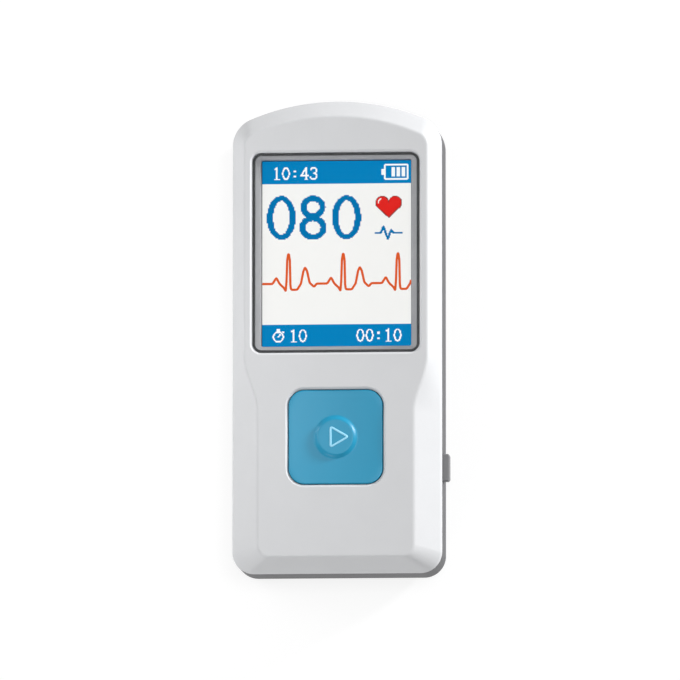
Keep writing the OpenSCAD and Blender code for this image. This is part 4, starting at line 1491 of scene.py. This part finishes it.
@dataclass
class CaseScrews:
    """The four pan-head screws that hold the case together."""

    seat: float
    head_r: float = 1.8
    head: float = 1.2
    head_dome: float = 0.45
    shank_r: float = 0.85
    length: float = 9.0
    plain: float = 1.0
    thread_z: float = 0.4
    thread_depth: float = 0.18
    threads: int = 14
    recess: float = 2.1
    slot: float = 0.5

    def build(self, repeats: Repeats) -> None:
        """Makes one screw, and sets four of it.

        Args:
            repeats: The tree that sets copies on a grid.
        """
        outline = [(self.head_r * math.sin(a), -self.head + self.head_dome * (1 - math.cos(a)))
                   for a in (math.radians(k * 15) for k in range(1, 7))]
        outline += [(self.head_r, 0.0), (self.shank_r, 0.0)]
        thread = self.length - self.plain
        for k in range(self.threads):
            z = self.thread_z + thread * k / self.threads
            outline += [(self.shank_r - self.thread_depth, z),
                        (self.shank_r, z + thread / self.threads / 2)]
        outline += [(self.shank_r - 0.2, self.length - 0.5), (0.15, self.length)]
        screw = Solid().loft(turned(outline, steps=24)).piece("screw pattern")
        half, thin = self.recess / 2, self.slot / 2
        low, high = -self.head - 0.2, -self.head * 0.45
        for x, y in ((half, thin), (thin, half)):
            carve(screw, Solid().block((-x, -y, low), (x, y, high)), Carving.CUT)
        smooth(screw)
        (x, near), (_, far) = FORM.posts
        made = repeats.row(screw, "case_screw_set", NICKEL, (2 * x, far - near), (2, 2),
                           (0.0, (near + far) / 2, self.seat))
        fit_out(made, NICKEL, HOUSING, "case_screws")


# --- the lit picture

Test = Callable[[float, float], bool]
Box = tuple[float, float, float, float]


def ellipse_band(cx: float, cy: float, outer: Spot, inner: Spot) -> Test:
    """A test for the band between two ellipses about one centre."""
    return lambda x, y: (((x - cx) / outer[0]) ** 2 + ((y - cy) / outer[1]) ** 2 <= 1
                         < ((x - cx) / inner[0]) ** 2 + ((y - cy) / inner[1]) ** 2)


def area(x0: float, y0: float, x1: float, y1: float) -> Test:
    """A test for a plain rectangle."""
    return lambda x, y: x0 <= x < x1 and y0 <= y < y1


def gap(x: float, y: float, start: Spot, end: Spot) -> float:
    """How far a place is from a straight stroke.

    Args:
        x: The place.
        y: The place.
        start: The stroke's start.
        end: Its end.

    Returns:
        The distance.
    """
    (ax, ay), (bx, by) = start, end
    along = ((x - ax) * (bx - ax) + (y - ay) * (by - ay)) / ((bx - ax) ** 2 + (by - ay) ** 2)
    t = min(max(along, 0.0), 1.0)
    return math.hypot(x - ax - t * (bx - ax), y - ay - t * (by - ay))


def pen(width: float, *points: Spot) -> Test:
    """A test for what a round pen of that width draws along points."""
    strokes = list(zip(points, points[1:]))
    return lambda x, y: any(gap(x, y, *stroke) <= width / 2 for stroke in strokes)


def pen_arc(width: float, cx: float, cy: float, rx: float, ry: float, start: float,
            end: float) -> Test:
    """A test for a round pen's line along part of an ellipse, from the right and downwards."""
    turns = [math.radians(start + (end - start) * k / 14) for k in range(15)]
    return pen(width, *((cx + rx * math.cos(a), cy + ry * math.sin(a)) for a in turns))


def any_of(tests: Iterable[Test]) -> Test:
    """A test that passes where one of the tests does."""
    kept = list(tests)
    return lambda x, y: any(t(x, y) for t in kept)


def heart(cx: float, cy: float, lobe: float, apart: float, tip: float) -> Test:
    """A test for a heart of two round lobes and a straight-sided point.

    Args:
        cx: Middle of the two lobes.
        cy: Middle of the two lobes.
        lobe: The lobes' radius.
        apart: Each lobe's distance from the middle.
        tip: How far the tip lies below the lobes' middle.

    Returns:
        The test.
    """
    far = math.hypot(apart, tip)
    slope = math.atan2(apart, tip) + math.asin(lobe / far)
    widest = math.sqrt(far ** 2 - lobe ** 2) * math.sin(slope)

    def inside(x: float, y: float) -> bool:
        """Whether a place is in the heart."""
        u, v = abs(x - cx), y - cy
        return (math.hypot(u - apart, v) <= lobe
                or (v >= 0 and u <= min((tip - v) * math.tan(slope), widest)))
    return inside


def digit(sign: str, line: float) -> Test:
    """A plain numeral, 11 pixels wide and 16 high.

    Args:
        sign: The numeral, or a colon.
        line: The line's width in pixels.

    Returns:
        The test.
    """
    half, foot = line / 2, 15.4
    shapes = {
        "0": [ellipse_band(5, 8, (4.6, 7.7), (4.6 - line, 7.7 - line * 0.9))],
        "1": [pen(line, (5.2, 1.2), (5.2, 14.6)), pen(line * 0.9, (2.6, 3.0), (5.2, 1.2)),
              area(2, foot - half, 8.6, foot)],
        "3": [pen_arc(line, 4.7, 4.5, 3.3, 3.4, -160, 80),
              pen_arc(line, 4.6, 11.2, 3.9, 3.6, -80, 165)],
        "4": [pen(line, (7, 1.2), (7, 14.6)), pen(line, (6.6, 1.4), (1.2, 10.4)),
              area(0.6, 10.4 - half, 9.8, 10.4 + half), area(4.8, foot - half, 9.2, foot)],
        ":": [area(3.4, 4.2, 6.4, 6.4), area(3.4, 10.6, 6.4, 12.8)],
    }
    return any_of(shapes[sign])


def number(text: str, x: float, y: float, pitch: float = 11.0, line: float = 1.9) -> Test:
    """Numerals in a row.

    Args:
        text: The numerals.
        x: The row's left edge in pixels.
        y: Its upper edge.
        pitch: From one numeral to the next.
        line: The line's width.

    Returns:
        The test.
    """
    signs = [(digit(sign, line), x + k * pitch) for k, sign in enumerate(text)]
    return lambda px, py: any(test(px - left, py - y) for test, left in signs)


@dataclass(frozen=True)
class Heartbeat:
    """One beat of a generic trace, as its turning points from the peak and the level line."""

    turns: tuple[Spot, ...] = (
        (-3.4, 0.0), (-2.6, 1.3), (-1.9, 0.0), (-0.9, -0.95), (-0.6, -1.6), (-0.42, 0.6),
        (-0.28, 5.0), (-0.08, 6.3), (0.08, 6.3), (0.28, 5.0), (0.4, -0.2), (0.52, -1.1),
        (0.72, -1.28), (1.85, -1.28), (2.65, 0.0), (3.15, 2.6), (3.52, 3.5), (3.95, 2.7),
        (4.5, 0.2), (5.45, -0.7), (6.0, 0.0))
    period: float = 11.66
    first: float = -10.26
    line: float = 0.5
    softness: float = 0.3

    def path(self, half: float, y: float, z: float) -> Ring:
        """The trace between the picture's sides.

        Args:
            half: Half the picture's width.
            y: Y of the level line.
            z: The trace's height above the back.

        Returns:
            The path.
        """
        dots = [(self.first + beat * self.period + x, y + h)
                for beat in (-1, 0, 1, 2, 3) for x, h in self.turns]
        path: Flat = []
        for (x0, y0), (x1, y1) in zip(dots, dots[1:]):
            for edge in (-half, half):
                if x0 < edge < x1:
                    path.append((edge, y0 + (y1 - y0) * (edge - x0) / (x1 - x0)))
            if -half < x1 < half:
                path.append((x1, y1))
        return level([path[0]] + rounded_path(path, self.softness, False) + [path[-1]], z)


@dataclass
class Picture:
    """The display's picture, drawn on its grid of 176 by 220 pixels."""

    window: Window
    columns: int = 176
    rows: int = 220
    glass_z: float = 17.0
    layer: float = 0.02
    bar: int = 27
    baseline: float = 145.5

    def spot(self, x: float, y: float) -> Spot:
        """Turns a place in pixels from the upper left corner to X and Y in millimetres."""
        w = self.window
        return ((x / self.columns - 0.5) * w.picture_width,
                w.centre_y + (0.5 - y / self.rows) * w.picture_length)

    def draw(self, name: str, test: Test, box: Box, ink: Ink, floor: int,
             cell: float = 1.0) -> None:
        """Lights the pixels that pass a test, as one thin piece.

        Args:
            name: The piece's name, without its first word.
            test: The test, in pixels.
            box: The part of the grid to look at: left, upper, right and lower edge.
            ink: The colour.
            floor: How many layers lie under it.
            cell: The side of a drawn cell, in pixels.
        """
        x0, y0, x1, y1 = box
        across, down = round((x1 - x0) / cell), round((y1 - y0) / cell)
        low, high = (self.glass_z + k * self.layer for k in (floor, floor + 1))
        begun: dict[tuple[int, int], int] = {}
        made = Solid()
        for row in range(down + 1):
            on = [row < down and test(x0 + (k + 0.5) * cell, y0 + (row + 0.5) * cell)
                  for k in range(across)] + [False]
            edges = [k for k, (before, now) in enumerate(zip([False] + on, on)) if before != now]
            runs = set(zip(edges[::2], edges[1::2]))
            for run in [r for r in begun if r not in runs]:
                a = self.spot(x0 + run[0] * cell, y0 + row * cell)
                b = self.spot(x0 + run[1] * cell, y0 + begun.pop(run) * cell)
                made.block((*a, low), (*b, high))
            for run in sorted(runs):
                begun.setdefault(run, row)
        fit_out(made.piece("picture_" + name), ink.value, HOUSING)

    def build(self) -> None:
        """Makes and fits the picture's pieces."""
        whole = (0, 0, self.columns, self.rows)
        foot = self.rows - self.bar + 1
        bars = any_of((area(0, 0, self.columns, self.bar), area(0, foot, self.columns, self.rows)))
        watch = any_of((ellipse_band(19, foot + 14.5, (6.6, 6.6), (4.8, 4.8)),
                        area(17.4, foot + 5, 20.8, foot + 8),
                        pen(1.6, (19, foot + 14.5), (21.4, foot + 11.6)),
                        pen(1.8, (24.2, foot + 8.4), (25.4, foot + 9.6))))
        battery = any_of(area(*part) for part in (
            (145, 4, 172, 6), (145, 21, 172, 23), (144, 5, 146, 22), (171, 5, 173, 22),
            (141, 10, 144, 17), (153, 8, 157, 19), (159, 8, 163, 19), (165, 8, 169, 19)))
        zeros = [ellipse_band(x, 67, (17.2, 26.2), (9.6, 20.0)) for x in (22.5, 99.8)]
        eight = [ellipse_band(60, 54.6, (14.8, 13.8), (7.6, 7.0)),
                 ellipse_band(60, 79.0, (16.2, 14.4), (8.8, 7.8))]
        shine = pen_arc(1.4, 141.6, 50.0, 4.4, 4.6, 175, 250)
        pulse = pen(2.8, (134, 86), (140, 86), (143.5, 78.5), (148.5, 93), (152.5, 82.5),
                    (155, 86), (165, 86))
        near_heart, timer = (130, 40, 168, 72), (108, foot, 170, 218)
        for drawing in (
                ("ground", area(*whole), whole, Ink.PAPER, 0),
                ("bars", bars, whole, Ink.BLUE, 1),
                ("clock", number("10:43", 12, 6.5), (10, 4, 70, 24), Ink.WHITE, 2),
                ("timer", number("00:10", 111, foot + 5.2), timer, Ink.WHITE, 2),
                ("stopwatch", watch, (10, foot, 30, 218), Ink.WHITE, 2),
                ("limit", number("10", 32, foot + 5.2, line=1.7), (30, foot, 60, 218),
                 Ink.WHITE, 2),
                ("battery", battery, (138, 2, 176, 26), Ink.WHITE, 2),
                ("rate", any_of(zeros + eight), (2, 36, 122, 97.5), Ink.DIGIT, 1, 1.5),
                ("heart_rim", heart(149.6, 50.2, 8.2, 7.7, 18.2), near_heart, Ink.DARK_RED, 1),
                ("heart", heart(149.4, 50.0, 7.2, 7.6, 16.6), near_heart, Ink.RED, 2),
                ("heart_shine", shine, (134, 42, 150, 56), Ink.WHITE, 3),
                ("pulse_sign", pulse, (131, 74, 169, 97), Ink.DIGIT, 1)):
            self.draw(*drawing)
        self.build_trace()

    def build_trace(self) -> None:
        """Draws the heart trace along its curve."""
        beat, ink = Heartbeat(), Ink.ORANGE.value
        _, y = self.spot(0, self.baseline)
        path = beat.path(self.window.picture_width / 2 - 0.02, y,
                         self.glass_z + 1.5 * self.layer)
        line = DrawnLine().lay("picture_trace", path, False, ink, beat.line, self.layer)
        fit_out(line, ink, HOUSING)


# --- what the case holds


@dataclass
class Insides:
    """The display module, the board and the cell. They keep their CAD shapes."""

    def build(self) -> None:
        """Gives each solid its finish."""
        dress(FOAM, "display_gasket", "cell_pad")
        dress(BLACK_GLASS, "display_glass")
        dress(TRAY_WHITE, "display_tray")
        dress(TAPE, "display_tape")
        dress(FLEX, "display_flex")
        dress(NYLON_IVORY, "flex_connector", "cell_plug")
        dress(BOARD, "main_board")
        dress(CHIP_BLACK, "processor", "ecg_front_end", "memory_chip", "charger_chip", "buzzer",
              "play_switch", "side_switch")
        dress(NICKEL, "clock_crystal", "board_screws")
        dress(CERAMIC, "board_passives")
        dress(POUCH, "cell")
        dress(LEAD_SKIN, "cell_leads")
        dress(GOLD, "contact_pins")
        dress(NYLON_CREAM, "play_plunger", "side_plunger")


# --- studio


def seen_by(tree: Tree, *rays: str) -> Socket:
    """Tells rays of the named kinds, as 1, from all others.

    Args:
        tree: The node tree to add to.
        *rays: The light path's outputs.

    Returns:
        The socket with 1 or 0.
    """
    path = node(tree, "ShaderNodeLightPath").outputs
    seen = path[rays[0]]
    for ray in rays[1:]:
        seen = node(tree, "ShaderNodeMath", {0: seen, 1: path[ray]},
                    operation="MAXIMUM").outputs[0]
    return seen


@dataclass(frozen=True)
class Lamp:
    """A square soft lamp, aimed at the monitor."""

    name: str
    azimuth: float
    elevation: float
    level: float
    distance: float = 900.0
    size: float = 500.0

    def build(self) -> None:
        """Makes the lamp, unseen by the camera."""
        a, e = math.radians(self.azimuth), math.radians(self.elevation)
        light = bpy.data.lights.new(self.name, "AREA")
        light.shape = "SQUARE"
        light.size = self.size * MM
        far = self.distance * MM
        light.energy = self.level * math.pi ** 2 * far ** 2
        lamp = link(bpy.data.objects.new(self.name, light))
        way = (math.sin(a) * math.cos(e), math.cos(a) * math.cos(e), math.sin(e))
        lamp.location = tuple(v * far for v in way)
        lamp.rotation_mode = "QUATERNION"
        lamp.rotation_quaternion = (-lamp.location).to_track_quat("-Z", "Y")
        lamp.visible_camera = False


@dataclass
class Studio:
    """The pale floor, the lamps and the camera."""

    lamps: tuple[Lamp, ...] = (
        Lamp("lamp overhead right", 90, 80, 0.28, size=240),
        Lamp("lamp near left", -89, 46, 0.28, distance=150, size=80),
        Lamp("lamp right", 60, 9.5, 1.2, distance=1600, size=200),
        Lamp("lamp bottom end", -158, 6, 0.24, size=240),
        Lamp("lamp left", -66, 3, 0.2, size=90),
    )
    sky: float = 0.31
    floor_half: float = 900.0
    floor_glow: float = 0.82
    floor_grey: float = 0.24
    target: Point = (0.63, -0.67, 16.0)
    lean_right: float = 4.55
    lean_down: float = 6.1
    distance: float = 2600.0
    view: float = 144.4
    sensor: float = 36.0

    def build_floor(self) -> None:
        """Makes the floor: white to the camera, but for the monitor's shadow."""
        half, grey = self.floor_half, self.floor_grey
        floor = Solid().block((-half, -half, -1.0), (half, half, -0.02)).piece("floor")
        made = bpy.data.materials.new("white sweep")
        tree = bare_tree(made)
        plain = node(tree, "ShaderNodeBsdfDiffuse", {"Color": linear("#E6E6E6")})
        glow = node(tree, "ShaderNodeEmission", {
            "Color": (1, 1, 1, 1), "Strength": self.floor_glow})
        soft = node(tree, "ShaderNodeBsdfDiffuse", {"Color": (grey, grey, grey, 1)})
        bright = node(tree, "ShaderNodeAddShader", {0: glow.outputs[0], 1: soft.outputs[0]})
        seen = seen_by(tree, "Is Camera Ray", "Is Transmission Ray", "Is Glossy Ray")
        mix = node(tree, "ShaderNodeMixShader", {0: seen, 1: plain.outputs[0],
                                                 2: bright.outputs[0]})
        node(tree, "ShaderNodeOutputMaterial", {"Surface": mix.outputs[0]})
        floor.data.materials.append(made)

    def build_sky(self) -> None:
        """Makes the even light of the room, white to the camera."""
        world = bpy.data.worlds.new("white room")
        tree = bare_tree(world)
        strength = node(tree, "ShaderNodeMapRange", {
            "Value": seen_by(tree, "Is Camera Ray", "Is Transmission Ray"),
            "To Min": self.sky, "To Max": 1.0})
        back = node(tree, "ShaderNodeBackground", {
            "Color": (1, 1, 1, 1), "Strength": strength.outputs["Result"]})
        node(tree, "ShaderNodeOutputWorld", {"Surface": back.outputs[0]})
        bpy.context.scene.world = world

    def build_camera(self) -> None:
        """Makes the camera, above the monitor and a little to its right and bottom end."""
        data = bpy.data.cameras.new("camera")
        data.sensor_width = self.sensor
        data.lens = self.sensor * self.distance / self.view
        data.clip_start, data.clip_end = 0.05, 20.0
        camera = link(bpy.data.objects.new("camera", data))
        way = (math.tan(math.radians(self.lean_right)), -math.tan(math.radians(self.lean_down)),
               1.0)
        far = math.hypot(*way)
        camera.location = tuple((t + self.distance * w / far) * MM
                                for t, w in zip(self.target, way))
        # It looks against that way, with +Y up in its picture.
        out = Vector(way).normalized()
        right = Vector((0.0, 1.0, 0.0)).cross(out).normalized()
        camera.rotation_mode = "QUATERNION"
        camera.rotation_quaternion = Matrix(
            (right, out.cross(right), out)).transposed().to_quaternion()
        bpy.context.scene.camera = camera

    def build(self) -> None:
        """Makes the whole studio."""
        self.build_floor()
        self.build_sky()
        for lamp in self.lamps:
            lamp.build()
        self.build_camera()
        bpy.context.scene.view_settings.view_transform = "Standard"


def main() -> None:
    """Builds the monitor and its studio."""
    logging.basicConfig(level=logging.INFO, format="%(name)s: %(message)s")
    repeats = Repeats()
    window, plates, side, ports = Window(), Electrodes(), SideKey(), Ports()
    play, rear = PlayKey(), RearCase()
    Studio().build()
    FrontCase(window, play.centre_y).build()
    rear.build(plates, side, ports)
    window.build()
    Picture(window).build()
    play.build()
    side.build()
    plates.build()
    ports.build_usb(repeats)
    ports.build_lead()
    CaseScrews(rear.seat).build(repeats)
    Insides().build()


if __name__ == "__main__":
    main()
